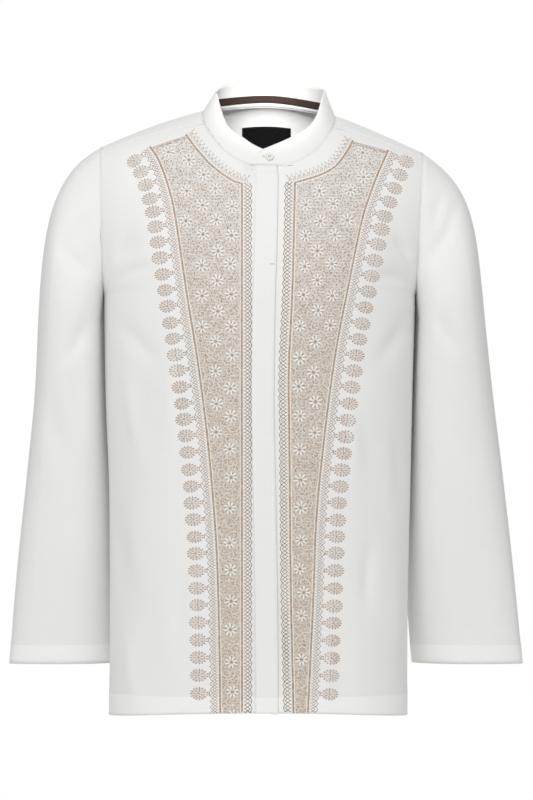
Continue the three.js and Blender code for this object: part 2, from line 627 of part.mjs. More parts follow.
function collarDip(degrees) {
  const under = THREE.MathUtils.smoothstep(degrees - 360, COLLAR_UNDER_STARTS, COLLAR_UNDER_DONE);
  return (COLLAR_CLOTH + SEAM_GAP) * under;
}

function collarTop(degrees) {
  const perDegree = (Math.PI / 180) * NECK.halfWidth;
  const fromEnd = Math.min(degrees - COLLAR_OVER_END, COLLAR_UNDER_END + 360 - degrees) * perDegree;
  const short = Math.max(0, COLLAR_CORNER_RADIUS - fromEnd);
  const cut = COLLAR_CORNER_RADIUS - Math.sqrt(COLLAR_CORNER_RADIUS ** 2 - short ** 2);
  return 1 - cut / Math.hypot(collarProfile(degrees, 'rise'), collarProfile(degrees, 'lean'));
}

// The collar's columns: the neckline's corners, with a few more where the top corners are round.
function collarAngles() {
  const overCorner = CORNER_STEPS.map((step) => COLLAR_OVER_END + step);
  const underCorner = CORNER_STEPS.map((step) => COLLAR_UNDER_END + 360 - step);
  return [...NECK_ANGLES, ...overCorner, ...underCorner].sort((a, b) => a - b);
}

function collar() {
  const angles = collarAngles();
  const layer = (depth) =>
    spread(0, 1, COLLAR_ROWS).map((height) =>
      angles.map((angle) => collarPoint(angle, height * collarTop(angle), depth + collarDip(angle))),
    );
  return wall(layer(0), layer(COLLAR_CLOTH));
}

// A strip inside the back of the collar, just above its foot.
function collarTape() {
  const angles = spread(TAPE.fromAngle, TAPE.toAngle, 22);
  const height = (angle, above) => above / collarProfile(angle, 'rise');
  const layer = (depth) =>
    [TAPE.aboveFoot, TAPE.aboveFoot + TAPE.width].map((above) =>
      angles.map((angle) => collarPoint(angle, height(angle, above), COLLAR_CLOTH + SEAM_GAP + depth)),
    );
  return wall(layer(0), layer(TAPE.thickness));
}

// ---------------------------------------------------------------- neck label

function neckLabel() {
  const stations = spread(backStation(LABEL.topZ), backStation(LABEL.bottomZ), 4);
  const places = stations.map((station) =>
    spread(LABEL.right, LABEL.left, 8).map((x) => {
      const side = x < 0 ? SIDES.right : SIDES.left;
      return { side, station, reach: reachAt(side, station, x) };
    }),
  );
  return panel(places, {}, () => -CLOTH - SEAM_GAP, LABEL.thickness);
}

// ---------------------------------------------------------------- button

const BUTTON_SIDES = 28;
const HOLE_SIDES = 8;

async function collarButton() {
  const wasm = await Module();
  wasm.setup();
  const solid = (geometry) => {
    geometry.deleteAttribute('normal');
    geometry.deleteAttribute('uv');
    const merged = mergeVertices(geometry, 1e-4);
    const vertProperties = merged.attributes.position.array;
    const triVerts = new Uint32Array(merged.index.array);
    return new wasm.Manifold(new wasm.Mesh({ numProp: 3, vertProperties, triVerts }));
  };
  const { radius, thickness, rim, dish } = BUTTON;
  const half = thickness / 2;
  const outline = [
    [0, -half],
    [radius - rim, -half],
    [radius, -half + rim * 0.7],
    [radius, half - rim * 0.5],
    [radius - rim * 0.6, half],
    [radius - rim * 1.6, half],
    [radius - rim * 2.2, half - dish],
    [0, half - dish],
  ].map(([x, y]) => new THREE.Vector2(x, y));
  let disc = solid(new THREE.LatheGeometry(outline, BUTTON_SIDES));
  for (let i = 0; i < BUTTON.holes; i++) {
    const hole = new THREE.CylinderGeometry(BUTTON.holeRadius, BUTTON.holeRadius, 2 * thickness, HOLE_SIDES);
    const angle = (2 * Math.PI * (i + 0.5)) / BUTTON.holes;
    hole.translate(BUTTON.holeOffset * Math.cos(angle), 0, BUTTON.holeOffset * Math.sin(angle));
    disc = disc.subtract(solid(hole));
  }
  const { vertProperties, triVerts } = disc.getMesh();
  const geometry = new THREE.BufferGeometry();
  geometry.setAttribute('position', new THREE.BufferAttribute(vertProperties, 3));
  geometry.setIndex(new THREE.BufferAttribute(triVerts, 1));
  geometry.computeVertexNormals();

  const seat = collarPoint(BUTTON_ANGLE, BUTTON_HEIGHT, 0);
  const outward = seat.clone().sub(collarPoint(BUTTON_ANGLE, BUTTON_HEIGHT, 1)).normalize();
  const mesh = piece('collar_button', geometry, SHELL_WHITE);
  mesh.quaternion.setFromUnitVectors(point(0, 1, 0), outward);
  mesh.position.copy(seat).addScaledVector(outward, half + BUTTON_SHANK);
  return mesh;
}

// ---------------------------------------------------------------- the shirt

const shirt = new THREE.Group();
shirt.name = 'koko_shirt';
shirt.add(
  piece('front_left', leftFront(), SHIRTING),
  piece('front_right', rightFront(), SHIRTING),
  piece('placket', placket(), SHIRTING),
  piece('back', back(), SHIRTING),
  piece('yoke', yoke(), SHIRTING),
  piece('sleeve_left', sleeve(SIDES.left), SHIRTING),
  piece('sleeve_right', sleeve(SIDES.right), SHIRTING),
  piece('collar', collar(), SHIRTING),
  piece('collar_tape', collarTape(), TRIM_BROWN),
  piece('neck_label', neckLabel(), LABEL_BLACK),
  await collarButton(),
);

export default shirt;
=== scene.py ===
# A man's koko shirt, as it hangs when it is worn, with no wearer: white shirting with tan
# embroidery down both fronts. Metres, +Z up, the front faces -Y. Every cloth piece is a finer copy
# of the frame's own solid, with its creases pressed into it, so it lies where the frame says.

import heapq
import math
import random

import bmesh
import bpy
import numpy as np
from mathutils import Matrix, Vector


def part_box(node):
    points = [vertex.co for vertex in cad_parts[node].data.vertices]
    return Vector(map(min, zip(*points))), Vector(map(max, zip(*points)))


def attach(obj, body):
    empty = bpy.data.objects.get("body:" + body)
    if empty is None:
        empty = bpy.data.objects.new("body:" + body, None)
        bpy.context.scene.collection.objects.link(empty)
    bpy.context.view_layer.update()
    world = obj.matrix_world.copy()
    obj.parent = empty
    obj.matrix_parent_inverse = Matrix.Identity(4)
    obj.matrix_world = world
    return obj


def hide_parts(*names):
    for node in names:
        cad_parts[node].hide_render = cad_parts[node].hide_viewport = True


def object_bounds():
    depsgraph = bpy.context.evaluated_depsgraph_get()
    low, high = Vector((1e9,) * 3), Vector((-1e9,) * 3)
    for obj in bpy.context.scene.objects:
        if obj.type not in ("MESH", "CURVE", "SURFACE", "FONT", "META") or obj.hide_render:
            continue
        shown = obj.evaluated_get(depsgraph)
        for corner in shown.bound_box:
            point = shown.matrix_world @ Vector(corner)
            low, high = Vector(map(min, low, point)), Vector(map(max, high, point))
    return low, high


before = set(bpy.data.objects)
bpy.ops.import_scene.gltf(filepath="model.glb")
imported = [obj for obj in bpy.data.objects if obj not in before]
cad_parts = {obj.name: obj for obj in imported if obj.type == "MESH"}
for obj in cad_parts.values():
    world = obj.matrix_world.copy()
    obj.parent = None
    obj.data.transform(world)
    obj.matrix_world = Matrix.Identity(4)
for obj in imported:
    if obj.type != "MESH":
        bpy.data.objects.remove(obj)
cad_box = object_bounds()
MM = 0.001

# ---------------------------------------------------------------- camera, light and floor

# A long lens a good way off, level with the middle of the shirt and square to its front.
VIEW_HEIGHT = 1016 * MM
CAMERA_DISTANCE = 6.5
SENSOR = 36
VIEW_CENTRE = (0.6 * MM, -366 * MM)  # across and in height


def new_object(name, data):
    """A new object that stands in the scene."""
    made = bpy.data.objects.new(name, data)
    bpy.context.collection.objects.link(made)
    return made


camera_data = bpy.data.cameras.new("studio_camera")
camera_data.sensor_width = SENSOR
camera_data.lens = SENSOR * CAMERA_DISTANCE / VIEW_HEIGHT
camera = new_object("studio_camera", camera_data)
camera.location = (VIEW_CENTRE[0], -CAMERA_DISTANCE, VIEW_CENTRE[1])
camera.rotation_euler = (math.pi / 2, 0, 0)
bpy.context.scene.camera = camera
bpy.context.scene.view_settings.view_transform = "Standard"


def linear(hex_colour):
    """The linear red, green, blue and alpha of an sRGB colour such as "F2F0EA"."""
    parts = [int(hex_colour[i : i + 2], 16) / 255 for i in (0, 2, 4)]
    return [c / 12.92 if c <= 0.04045 else ((c + 0.055) / 1.055) ** 2.4 for c in parts] + [1]


def add(tree, kind, inputs=(), **settings):
    """Adds a node with its settings, and links or sets its inputs."""
    made = tree.nodes.new(kind)
    for name, value in settings.items():
        setattr(made, name, value)
    for key, value in dict(inputs).items():
        if isinstance(value, bpy.types.NodeSocket):
            tree.links.new(value, made.inputs[key])
        else:
            made.inputs[key].default_value = value
    return made


def lamp(name, kind, place, target, power, **settings):
    """A lamp turned towards a point of the shirt."""
    data = bpy.data.lights.new(name, kind)
    data.energy = power
    for key, value in settings.items():
        setattr(data, key, value)
    made = new_object(name, data)
    made.location = place
    made.rotation_euler = (Vector(target) - Vector(place)).to_track_quat("-Z", "Y").to_euler()


CHEST = (0, 0, -0.3)
lamp("key_softbox", "AREA", (-0.45, -2.1, 0.95), CHEST, 25, size=0.9)
lamp("back_softbox", "AREA", (0.9, 3.2, 1.5), CHEST, 22, size=1.2)
lamp("fill_softbox", "AREA", (1.9, -2.8, 0.6), CHEST, 8, size=1.8)

# A narrow beam goes over the collar's front into the neck, so that the inside of the yoke shows.
YOKE_INSIDE = (0.003, 0.07, -0.008)
BEAM = {"spot_size": math.radians(4.8), "spot_blend": 0.8, "shadow_soft_size": 0.04}
lamp("neck_beam", "SPOT", (0, -1.5, 0.42), YOKE_INSIDE, 125, **BEAM)

# A white surround, lit from behind, so that it shows brighter than the light which it gives.
SURROUND_LIGHT = 0.51
world = bpy.data.worlds.new("white_studio")
bpy.context.scene.world = world
world.use_nodes = True
seen = add(world.node_tree, "ShaderNodeLightPath").outputs["Is Camera Ray"]
strength = add(world.node_tree, "ShaderNodeMapRange", {"Value": seen, "To Min": SURROUND_LIGHT, "To Max": 1})
surround = world.node_tree.nodes["Background"]
surround.inputs["Color"].default_value = (1, 1, 1, 1)
world.node_tree.links.new(strength.outputs["Result"], surround.inputs["Strength"])


def new_material(name, finish):
    """A material with its finish. Returns it with its node tree and its shader."""
    material = bpy.data.materials.new(name)
    material.use_nodes = True
    shader = material.node_tree.nodes["Principled BSDF"]
    for key, value in finish.items():
        shader.inputs[key].default_value = value
    return material, material.node_tree, shader


# The floor is a round of matt white paper, a hand's breadth below the hem.
FLOOR_DROP = 0.19
FLOOR_RADIUS = 0.85
floor_mesh = bpy.data.meshes.new("floor")
floor_form = bmesh.new()
bmesh.ops.create_circle(floor_form, cap_ends=True, segments=64, radius=FLOOR_RADIUS)
bmesh.ops.translate(floor_form, verts=floor_form.verts, vec=(0, 0, cad_box[0].z - FLOOR_DROP))
floor_form.to_mesh(floor_mesh)
floor_form.free()
floor = new_object("floor", floor_mesh)
paper, tree, shader = new_material("white_studio_paper", {"Roughness": 0.9})
clouds = add(tree, "ShaderNodeTexNoise", {"Scale": 3, "Detail": 2})
tint = add(tree, "ShaderNodeValToRGB", {"Fac": clouds.outputs["Fac"]})
for element, tone in zip(tint.color_ramp.elements, ("F6F6F4", "FCFCFB")):
    element.color = linear(tone)
tree.links.new(tint.outputs["Color"], shader.inputs["Base Color"])
floor_mesh.materials.append(paper)

# ---------------------------------------------------------------- white shirting: fronts, back, yoke

# The shirt's body is cut from one white cotton shirting: two fronts, a back, and a yoke that comes
# over the shoulders. The panels are joined with flat-felled seams, and the foot is turned up 30 mm
# and stitched.

# Matt white cotton with a faint slub check: every few millimetres a thicker thread runs in each
# direction, and the cloth looks slightly greyer along it.
SLUB_PITCH = 3.4 * MM
THREAD_PITCH = 0.9 * MM  # real threads lie 0.25 mm apart, too fine to show
SHIRT_WHITE = "F4F4F2"
DOUBLE_WHITE = "F9F9F8"  # where the cloth is double, and less light is lost through it
SLUB_SHADE = 0.93
HEM_TOP = -736.5  # the height to which the foot is turned up, in millimetres
WAVE_PITCH = math.pi / 10  # a wave texture's pitch in metres, at a scale of one


def shirting(name, hem_top, on_uv=True):
    """White shirting that is double below a height."""
    finish = {"Roughness": 0.86, "Specular IOR Level": 0.25, "Sheen Weight": 0.12, "Sheen Roughness": 0.5}
    material, tree, shader = new_material(name, finish)
    place = add(tree, "ShaderNodeTexCoord").outputs["Object"]
    cloth_uv = add(tree, "ShaderNodeUVMap", uv_map="cloth").outputs["UV"] if on_uv else place
    bands = []
    for pitch in (SLUB_PITCH, THREAD_PITCH):
        for direction in ("X", "Y"):
            run = {"Vector": cloth_uv, "Scale": WAVE_PITCH / pitch, "Distortion": 0.6, "Detail": 1}
            bands.append(add(tree, "ShaderNodeTexWave", run, bands_direction=direction).outputs["Fac"])
    slub = add(tree, "ShaderNodeMath", {0: bands[0], 1: bands[1]}, operation="MAXIMUM")
    threads = add(tree, "ShaderNodeMath", {0: bands[2], 1: bands[3]}, operation="MULTIPLY")
    drift = add(tree, "ShaderNodeTexNoise", {"Vector": place, "Scale": 9, "Detail": 4, "Roughness": 0.6})
    mottled = add(tree, "ShaderNodeMath", {0: slub.outputs[0], 1: drift.outputs["Fac"]}, operation="MULTIPLY")
    tint = add(tree, "ShaderNodeValToRGB", {"Fac": mottled.outputs[0]})
    tint.color_ramp.elements[0].color = linear(SHIRT_WHITE)
    tint.color_ramp.elements[1].color = [SLUB_SHADE * c for c in linear(SHIRT_WHITE)[:3]] + [1]
    height = add(tree, "ShaderNodeSeparateXYZ", {0: place}).outputs["Z"]
    ends = {"From Min": (hem_top - 1) * MM, "From Max": hem_top * MM, "To Min": 1, "To Max": 0}
    double = add(tree, "ShaderNodeMapRange", {"Value": height, **ends})
    tone = add(tree, "ShaderNodeMix", {0: double.outputs[0]}, data_type="RGBA")
    tree.links.new(tint.outputs["Color"], tone.inputs["A"])
    tone.inputs["B"].default_value = linear(DOUBLE_WHITE)
    tree.links.new(tone.outputs["Result"], shader.inputs["Base Color"])
    relief = add(tree, "ShaderNodeMath", {0: threads.outputs[0], 1: slub.outputs[0]}, operation="ADD")
    bump = add(tree, "ShaderNodeBump", {"Height": relief.outputs[0], "Strength": 0.25, "Distance": 0.12 * MM})
    tree.links.new(bump.outputs["Normal"], shader.inputs["Normal"])
    return material


white_shirting = shirting("white_cotton_shirting", HEM_TOP)
FOLD_WEIGHT = 3  # in pairing, how much more a fold between two triangles counts than their skew
RIM_ANGLE = math.radians(50)  # a sharper edge is a panel's rim


def paired_faces(form):
    """Pairs the triangles of a panel back into its four-sided faces, the surest pairs first."""
    cost = {}
    for edge in form.edges:
        if len(edge.link_faces) != 2:
            continue
        one, other = edge.link_faces
        tips = [next(v for v in face.verts if v not in edge.verts) for face in (one, other)]
        ring = [edge.verts[0].co, tips[0].co, edge.verts[1].co, tips[1].co]
        corners = [(ring[i - 1] - ring[i]).angle(ring[(i + 1) % 4] - ring[i], 0) for i in range(4)]
        skew = max(abs(corner - math.pi / 2) for corner in corners)
        cost[edge] = skew + FOLD_WEIGHT * one.normal.angle(other.normal, 0)
    free = set(form.faces)
    open_edges = {face: {e for e in face.edges if e in cost} for face in form.faces}
    queue = [(value, edge.index, edge) for edge, value in cost.items()]
    heapq.heapify(queue)
    chosen = []
    while queue:
        _, _, edge = heapq.heappop(queue)
        one, other = edge.link_faces
        if one not in free or other not in free:
            continue
        chosen.append(edge)
        free -= {one, other}
        # A neighbour that has only one partner left takes that partner next.
        for face in (one, other):
            for side in face.edges:
                for near in side.link_faces:
                    if near not in free:
                        continue
                    left = [e for e in open_edges[near] if all(f in free for f in e.link_faces)]
                    if len(left) == 1:
                        heapq.heappush(queue, (-1, left[0].index, left[0]))
    return chosen


def smooth_copy(node, name, levels=2):
    """A finer mesh of a node's solid, with its rims kept crisp. Returns the mesh."""
    form = bmesh.new()
    form.from_mesh(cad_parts[node].data)
    bmesh.ops.remove_doubles(form, verts=form.verts, dist=0.02 * MM)
    form.edges.index_update()
    form.normal_update()
    bmesh.ops.dissolve_edges(form, edges=paired_faces(form), use_verts=False)
    form.normal_update()
    sharp = form.edges.layers.float.new("crease_edge")
    for edge in form.edges:
        if len(edge.link_faces) == 2 and edge.calc_face_angle() > RIM_ANGLE:
            edge[sharp] = 1
    mesh = bpy.data.meshes.new(name)
    form.to_mesh(mesh)
    form.free()
    draft = new_object(name + "_draft", mesh)
    fine = draft.modifiers.new("fine", "SUBSURF")
    fine.levels = fine.render_levels = levels
    evaluated = draft.evaluated_get(bpy.context.evaluated_depsgraph_get())
    finished = bpy.data.meshes.new_from_object(evaluated)
    finished.name = name
    bpy.data.objects.remove(draft)
    return finished


# Upright lines through the middle of the torso and of each arm.
TORSO_AXIS = (-9 * MM, -3 * MM)
LEFT_ARM_AXIS = (240 * MM, 20 * MM)
RIGHT_ARM_AXIS = (-250 * MM, 20 * MM)
WIDER_THAN_DEEP = 1.6
MEAN_RADIUS = 150 * MM  # of the torso, for the cloth's UV map


def outward(points, axis):
    """The level direction away from an upright axis through the torso or an arm."""
    away = points[:, :2] - np.array(axis)
    away[:, 1] *= WIDER_THAN_DEEP
    away /= np.linalg.norm(away, axis=1)[:, None] + 1e-9
    return np.column_stack([away, np.zeros(len(points))])


def press_creases(points, creases, axis):
    """Presses soft troughs, or raises ridges where depth is negative, into points of cloth."""
    away = outward(points, axis)
    faces = {"front": away[:, 1] < 0, "back": away[:, 1] > 0, "inner": away[:, 0] * axis[0] < 0}
    for face, (x0, z0, x1, z1, width, depth, bend) in creases:
        # On an arm's inner side a crease is drawn in depth and height.
        level = 1 if face == "inner" else 0
        start = np.array((x0, z0)) * MM
        along = np.array((x1, z1)) * MM - start
        reach = points[:, [level, 2]] - start
        share = reach @ along / (along @ along)
        across = (reach[:, 0] * along[1] - reach[:, 1] * along[0]) / np.linalg.norm(along)
        inside = np.clip(share, 0, 1)
        across = across - bend * MM * np.sin(math.pi * inside)
        hill = np.exp(-((across / (width * MM)) ** 2)) * np.sin(math.pi * inside) ** 2
        hill = np.where(faces[face], hill, 0) * np.clip(np.abs(away[:, 1 - level]) * 3, 0, 1)
        points -= away * (hill * depth * MM)[:, None]
    return points


def on(face, rows):
    """The creases of a table, with the face that they are on."""
    return [(face, row) for row in rows]


def cloth_piece(node, name, creases, material, axis=TORSO_AXIS, levels=2):
    """Dresses a node: its finer copy, creased, in its cloth, with a UV map in metres."""
    mesh = smooth_copy(node, name, levels)
    points = np.empty(len(mesh.vertices) * 3)
    mesh.vertices.foreach_get("co", points)
    points = press_creases(points.reshape(-1, 3), creases, axis)
    mesh.vertices.foreach_set("co", points.ravel())
    away = outward(points, axis)
    corner = np.empty(len(mesh.loops), dtype=np.int64)
    mesh.loops.foreach_get("vertex_index", corner)
    round_it = np.arctan2(away[:, 0], -away[:, 1]) * MEAN_RADIUS
    unrolled = np.column_stack([round_it, points[:, 2]])
    while mesh.uv_layers:
        mesh.uv_layers.remove(mesh.uv_layers[0])
    mesh.uv_layers.new(name="cloth").data.foreach_set("uv", unrolled[corner].ravel())
    mesh.materials.clear()
    mesh.materials.append(material)
    mesh.shade_smooth()
    piece = new_object(name, mesh)
    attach(piece, "root")
    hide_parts(node)
    return piece


# Each crease: its two ends (x, z), half width, depth and sideways bend, in millimetres. A negative
# depth stands out.
FRONT_CREASES = [
    (15, -560, 22, -764, 3.5, 2.2, -2),
    (153, -149, 193, -224, 5, 3.4, -6),
    (-166, -150, -194, -196, 5, 2.9, 3),
    (-172, -74, -160, -104, 6, 1.9, -2),
    (-196, -196, -150, -150, 7, 2.9, 4),
    (-200, -222, -132, -196, 8, 3.6, -5),
    (-196, -250, -120, -330, 10, 3.2, 6),
    (-176, -300, -150, -470, 9, -2.9, 5),
    (-118, -300, -130, -440, 9, -2.6, -4),
    (-186, -480, -172, -640, 12, 4.3, 5),
    (-100, -560, -112, -690, 12, 2.9, 4),
    (-178, -640, -160, -764, 9, -2.5, 3),
    (188, -190, 150, -160, 7, 3.6, 4),
    (190, -226, 128, -208, 8, 4.0, 6),
    (184, -250, 130, -330, 10, 3.6, -5),
    (104, -360, 124, -470, 9, -3.2, 5),
    (158, -380, 170, -520, 9, 3.6, -4),
    (134, -520, 128, -650, 8, 3.6, 3),
    (160, -560, 164, -700, 10, -2.9, -3),
    (92, -620, 104, -764, 12, 3.2, 4),
]
# The right front sinks away from the placket's top, and a row of stitches draws the placket in.
GAP_CREASES = [(-16, -54, -19, -106, 5, 6, 0)]
PLACKET_CREASES = [(-30, -81, 32, -80.5, 1.7, 0.8, 0)]
BACK_CREASES = [
    (-190, -200, -130, -160, 9, 4.1, -6),
    (-192, -240, -110, -230, 10, 3.7, 8),
    (180, -204, 120, -158, 9, 4.1, 6),
    (182, -244, 104, -232, 10, 3.7, -8),
    (-60, -200, -84, -420, 16, 5.1, 8),
    (54, -180, 72, -400, 16, 4.4, -8),
    (-30, -420, -24, -700, 14, 4.1, 6),
    (40, -440, 34, -690, 14, -3.7, -6),
    (-150, -430, -140, -740, 14, 4.4, 5),
    (140, -400, 146, -730, 14, 4.1, -5),
]
YOKE_FRONT_CREASES = [
    (-120, -14, -190, -38, 6, 0.9, 2),
    (118, -20, 186, -44, 6, 1.0, -2),
]
YOKE_BACK_CREASES = [
    (-150, -60, -60, -84, 12, 1.4, 5),
    (150, -60, 62, -84, 12, 1.4, -5),
]
left_front_folds = on("front", FRONT_CREASES)
right_front_folds = left_front_folds + on("front", GAP_CREASES)
yoke_folds = on("front", YOKE_FRONT_CREASES) + on("back", YOKE_BACK_CREASES)
placket_folds = on("front", PLACKET_CREASES)

# The panels of the body.
front_left = cloth_piece("front_left", "left_front_cloth", left_front_folds, white_shirting)
front_right = cloth_piece("front_right", "right_front_cloth", right_front_folds, white_shirting)
back = cloth_piece("back", "back_cloth", on("back", BACK_CREASES), white_shirting)
yoke = cloth_piece("yoke", "yoke_cloth", yoke_folds, white_shirting)
placket = cloth_piece("placket", "fly_placket", placket_folds, white_shirting, levels=3)

# ---------------------------------------------------------------- sleeves

# Two long sleeves of the same shirting, each cut in one piece, set into the armholes with felled
# seams. The cuffs are turned up 25 mm and stitched.
CUFF_TOP = -677.5  # the height to which the cuffs are turned up
SLEEVE_CREASES = [
    (228, -92, 212, -160, 5, 3.4, 4),
    (252, -96, 224, -190, 6, 3.1, 6),
    (-222, -120, -250, -190, 7, 2.9, 4),
    (-216, -214, -246, -176, 6, 2.9, -3),
    (-262, -150, -222, -216, 9, 4.4, 5),
    (-222, -250, -262, -330, 10, 4.7, -5),
    (-236, -300, -232, -430, 10, 4.0, 4),
    (-270, -330, -252, -470, 12, 3.2, 6),
    (240, -140, 206, -206, 8, 5.5, 5),
    (214, -236, 246, -320, 9, 4.7, 5),
]
sleeve_shirting = shirting("white_cotton_sleeve_shirting", CUFF_TOP)

# Behind the body's side each sleeve swells towards it: y and z in place of x and z.
LEFT_SWELL = [
    (24, -130, 46, -420, 19, -8, 0),
    (40, -280, 56, -640, 19, -8, 0),
    (46, -480, 60, -900, 19, -10, 0),
]
RIGHT_SWELL = LEFT_SWELL[:2] + [(46, -480, 60, -900, 19, -4, 0)]
left_sleeve_folds = on("front", SLEEVE_CREASES) + on("inner", LEFT_SWELL)
right_sleeve_folds = on("front", SLEEVE_CREASES) + on("inner", RIGHT_SWELL)
sleeve_left = cloth_piece(
    "sleeve_left", "left_sleeve_cloth", left_sleeve_folds, sleeve_shirting, LEFT_ARM_AXIS
)
sleeve_right = cloth_piece(
    "sleeve_right", "right_sleeve_cloth", right_sleeve_folds, sleeve_shirting, RIGHT_ARM_AXIS
)

# ---------------------------------------------------------------- collar, its tape and the label

# A stand collar of two plies of shirting, whose left end laps over the right one. Inside its back
# runs a dark brown cotton tape, and a black woven label, left bare, is sewn to the yoke below it.
collar = cloth_piece("collar", "stand_collar", [], white_shirting)

# Herringbone twill: slanting ribs that turn back every few millimetres.
TWILL_TURN = 2.3 * MM
TWILL_PITCH = 1.7 * MM  # the real ribs lie 0.8 mm apart


def ribbed_trim(name, tones, turn, pitch, roughness):
    """A narrow woven trim with ribs that turn back after a length."""
    material, tree, shader = new_material(name, {"Roughness": roughness, "Specular IOR Level": 0.2})
    cloth_uv = add(tree, "ShaderNodeUVMap", uv_map="cloth").outputs["UV"]
    along = add(tree, "ShaderNodeSeparateXYZ", {0: cloth_uv}).outputs
    fold = add(tree, "ShaderNodeMath", {0: along["Y"], 1: turn}, operation="PINGPONG")
    slant = add(tree, "ShaderNodeMath", {0: along["X"], 1: fold.outputs[0]}, operation="ADD")
    phase = add(tree, "ShaderNodeMath", {0: slant.outputs[0], 1: 2 * math.pi / pitch}, operation="MULTIPLY")
    rib = add(tree, "ShaderNodeMath", {0: phase.outputs[0]}, operation="SINE")
    level = add(tree, "ShaderNodeMapRange", {"Value": rib.outputs[0], "From Min": -1})
    worn = add(tree, "ShaderNodeTexNoise", {"Vector": cloth_uv, "Scale": 300, "Detail": 2})
    share = add(tree, "ShaderNodeMath", {0: level.outputs[0], 1: worn.outputs["Fac"]}, operation="MULTIPLY")
    tint = add(tree, "ShaderNodeValToRGB", {"Fac": share.outputs[0]})
    for element, tone, at in zip(tint.color_ramp.elements, tones, (0, 0.7)):
        element.color = linear(tone)
        element.position = at
    tree.links.new(tint.outputs["Color"], shader.inputs["Base Color"])
    bump = add(tree, "ShaderNodeBump", {"Height": level.outputs[0], "Strength": 0.5, "Distance": 0.2 * MM})
    tree.links.new(bump.outputs["Normal"], shader.inputs["Normal"])
    return material


BROWNS = ("2A1F1A", "5C4A40")
brown_twill = ribbed_trim("brown_herringbone_tape", BROWNS, TWILL_TURN, TWILL_PITCH, 0.8)
tape = cloth_piece("collar_tape", "collar_tape_cloth", [], brown_twill)

# Black polyester damask: straight fine ribs with a slight shine.
BLACKS = ("030304", "0A0A0B")
black_damask = ribbed_trim("black_woven_label", BLACKS, 50 * MM, 0.9 * MM, 0.75)
label = cloth_piece("neck_label", "neck_label_cloth", [], black_damask)

# ---------------------------------------------------------------- embroidery on the fronts

# Machine embroidery in tan rayon thread runs down both fronts, from the yoke's seam to the hem. A
# field of white flowers among vines lies between two cords, a lattice of crossed threads runs along
# the far side of each cord, and a row of buds stands outside. It is sewn through the single cloth.

# The cords as rows of distance from the shirt's middle and height, from the top down. Millimetres.
CORDS = {
    "right": {
        "outer": [(146.3, -46.5), (133.7, -67), (120.4, -105.4), (112.2, -144.5), (98.2, -237.4)]
        + [(85.4, -316.9), (72.6, -418), (62.8, -534), (58.9, -635), (57, -759)],
        "inner": [(30.2, -94.6), (30.2, -399.4), (30, -759)],
        "neck": [(100.9, -31.3), (86.8, -50.8), (66.3, -73.3), (42.4, -90.5), (30.2, -94.6)],
    },
    "left": {
        "outer": [(154.2, -50.6), (141.5, -79.1), (130.3, -108.4), (119.1, -144.5), (103.1, -221.6)]
        + [(86.4, -309.1), (72.7, -412.1), (62.9, -512.3), (58.9, -615.5), (52.1, -759)],
        "inner": [(36.2, -93.6), (32.8, -228.6), (28.3, -330.7), (29.1, -418), (30.9, -601.7), (34.4, -759)],
        "neck": [(109.5, -38.5), (100.1, -55.9), (86.1, -73.2), (65.2, -84.5), (36.2, -93.6)],
    },
}
CORD_EDGE = 2.2  # from a cord's middle to the first thread of the field
CELL = 0.5  # the drawing is kept on a grid of this pitch, to know which ground is still bare
FLOWER_REACH = 8.6
FLOWER_COLUMNS = 37  # the flowers stand in staggered rows
FLOWER_ROWS = 19
FLOWER_TOP = -46
FLOWER_SIZES = (1.08, 1.26)
FLOWER_CLEARANCE = 28  # and one more wherever it comes no closer than this to the others
FLOWER_INSET = 13  # from the inner cord to the first flower of a row
FLOWER_TRIES = 3000
VINE_TRIES = 2200
# Where each is tried: from and to across, then from and to in height.
FLOWER_SPAN = ((30, 150), (-760, -36))
VINE_SPAN = ((28, 160), (-765, -30))
SEED_SPAN = ((28, 160), (-765, -24))
VINE_STEP = 1.1
LONGEST_VINE = 26  # in steps
SHORTEST_VINE = 7

# Each band of crossed threads: rows of near and far distance from its cord, where the thread
# starts, how often it comes back, and its half width.
LATTICES = {
    "inner": [(3.6, 10.4, 0, 9.45, 0.62), (3.6, 10.4, 1, 9.45, 0.62), (10.4, 12.6, 1, 9.45, 0.45)],
    "outer": [(3.8, 9, 0, 7.2, 0.5), (3.8, 9, 1, 7.2, 0.5), (9, 12.4, 0, 7.2, 0.5)],
    "neck": [(3.6, 12.6, 0, 6.1, 0.5), (3.6, 8, 1, 6.1, 0.4)],
}


def smooth_line(rows, step):
    """A smooth line through rows of points, with a point at every step."""
    rows = np.array(rows, dtype=float)
    rows = np.vstack([2 * rows[0] - rows[1], rows, 2 * rows[-1] - rows[-2]])
    t = np.linspace(0, 1, 24, endpoint=False)[:, None]
    spans = [
        b + t * (c - a) / 2 + t**2 * (2 * a - 5 * b + 4 * c - d) / 2 + t**3 * (3 * b - a - 3 * c + d) / 2
        for a, b, c, d in zip(rows, rows[1:], rows[2:], rows[3:])
    ]
    line = np.vstack(spans + [rows[-2:-1]])
    gone = np.insert(np.cumsum(np.linalg.norm(np.diff(line, axis=0), axis=1)), 0, 0)
    at = np.arange(0, gone[-1], step)
    return np.column_stack([np.interp(at, gone, line[:, axis]) for axis in (0, 1)])


def beside(line, distance):
    """The points of a line moved sideways, to the left of its run."""
    along = np.gradient(line, axis=0)
    along /= np.linalg.norm(along, axis=1)[:, None]
    return line + np.reshape(distance, (-1, 1)) * np.column_stack([-along[:, 1], along[:, 0]])


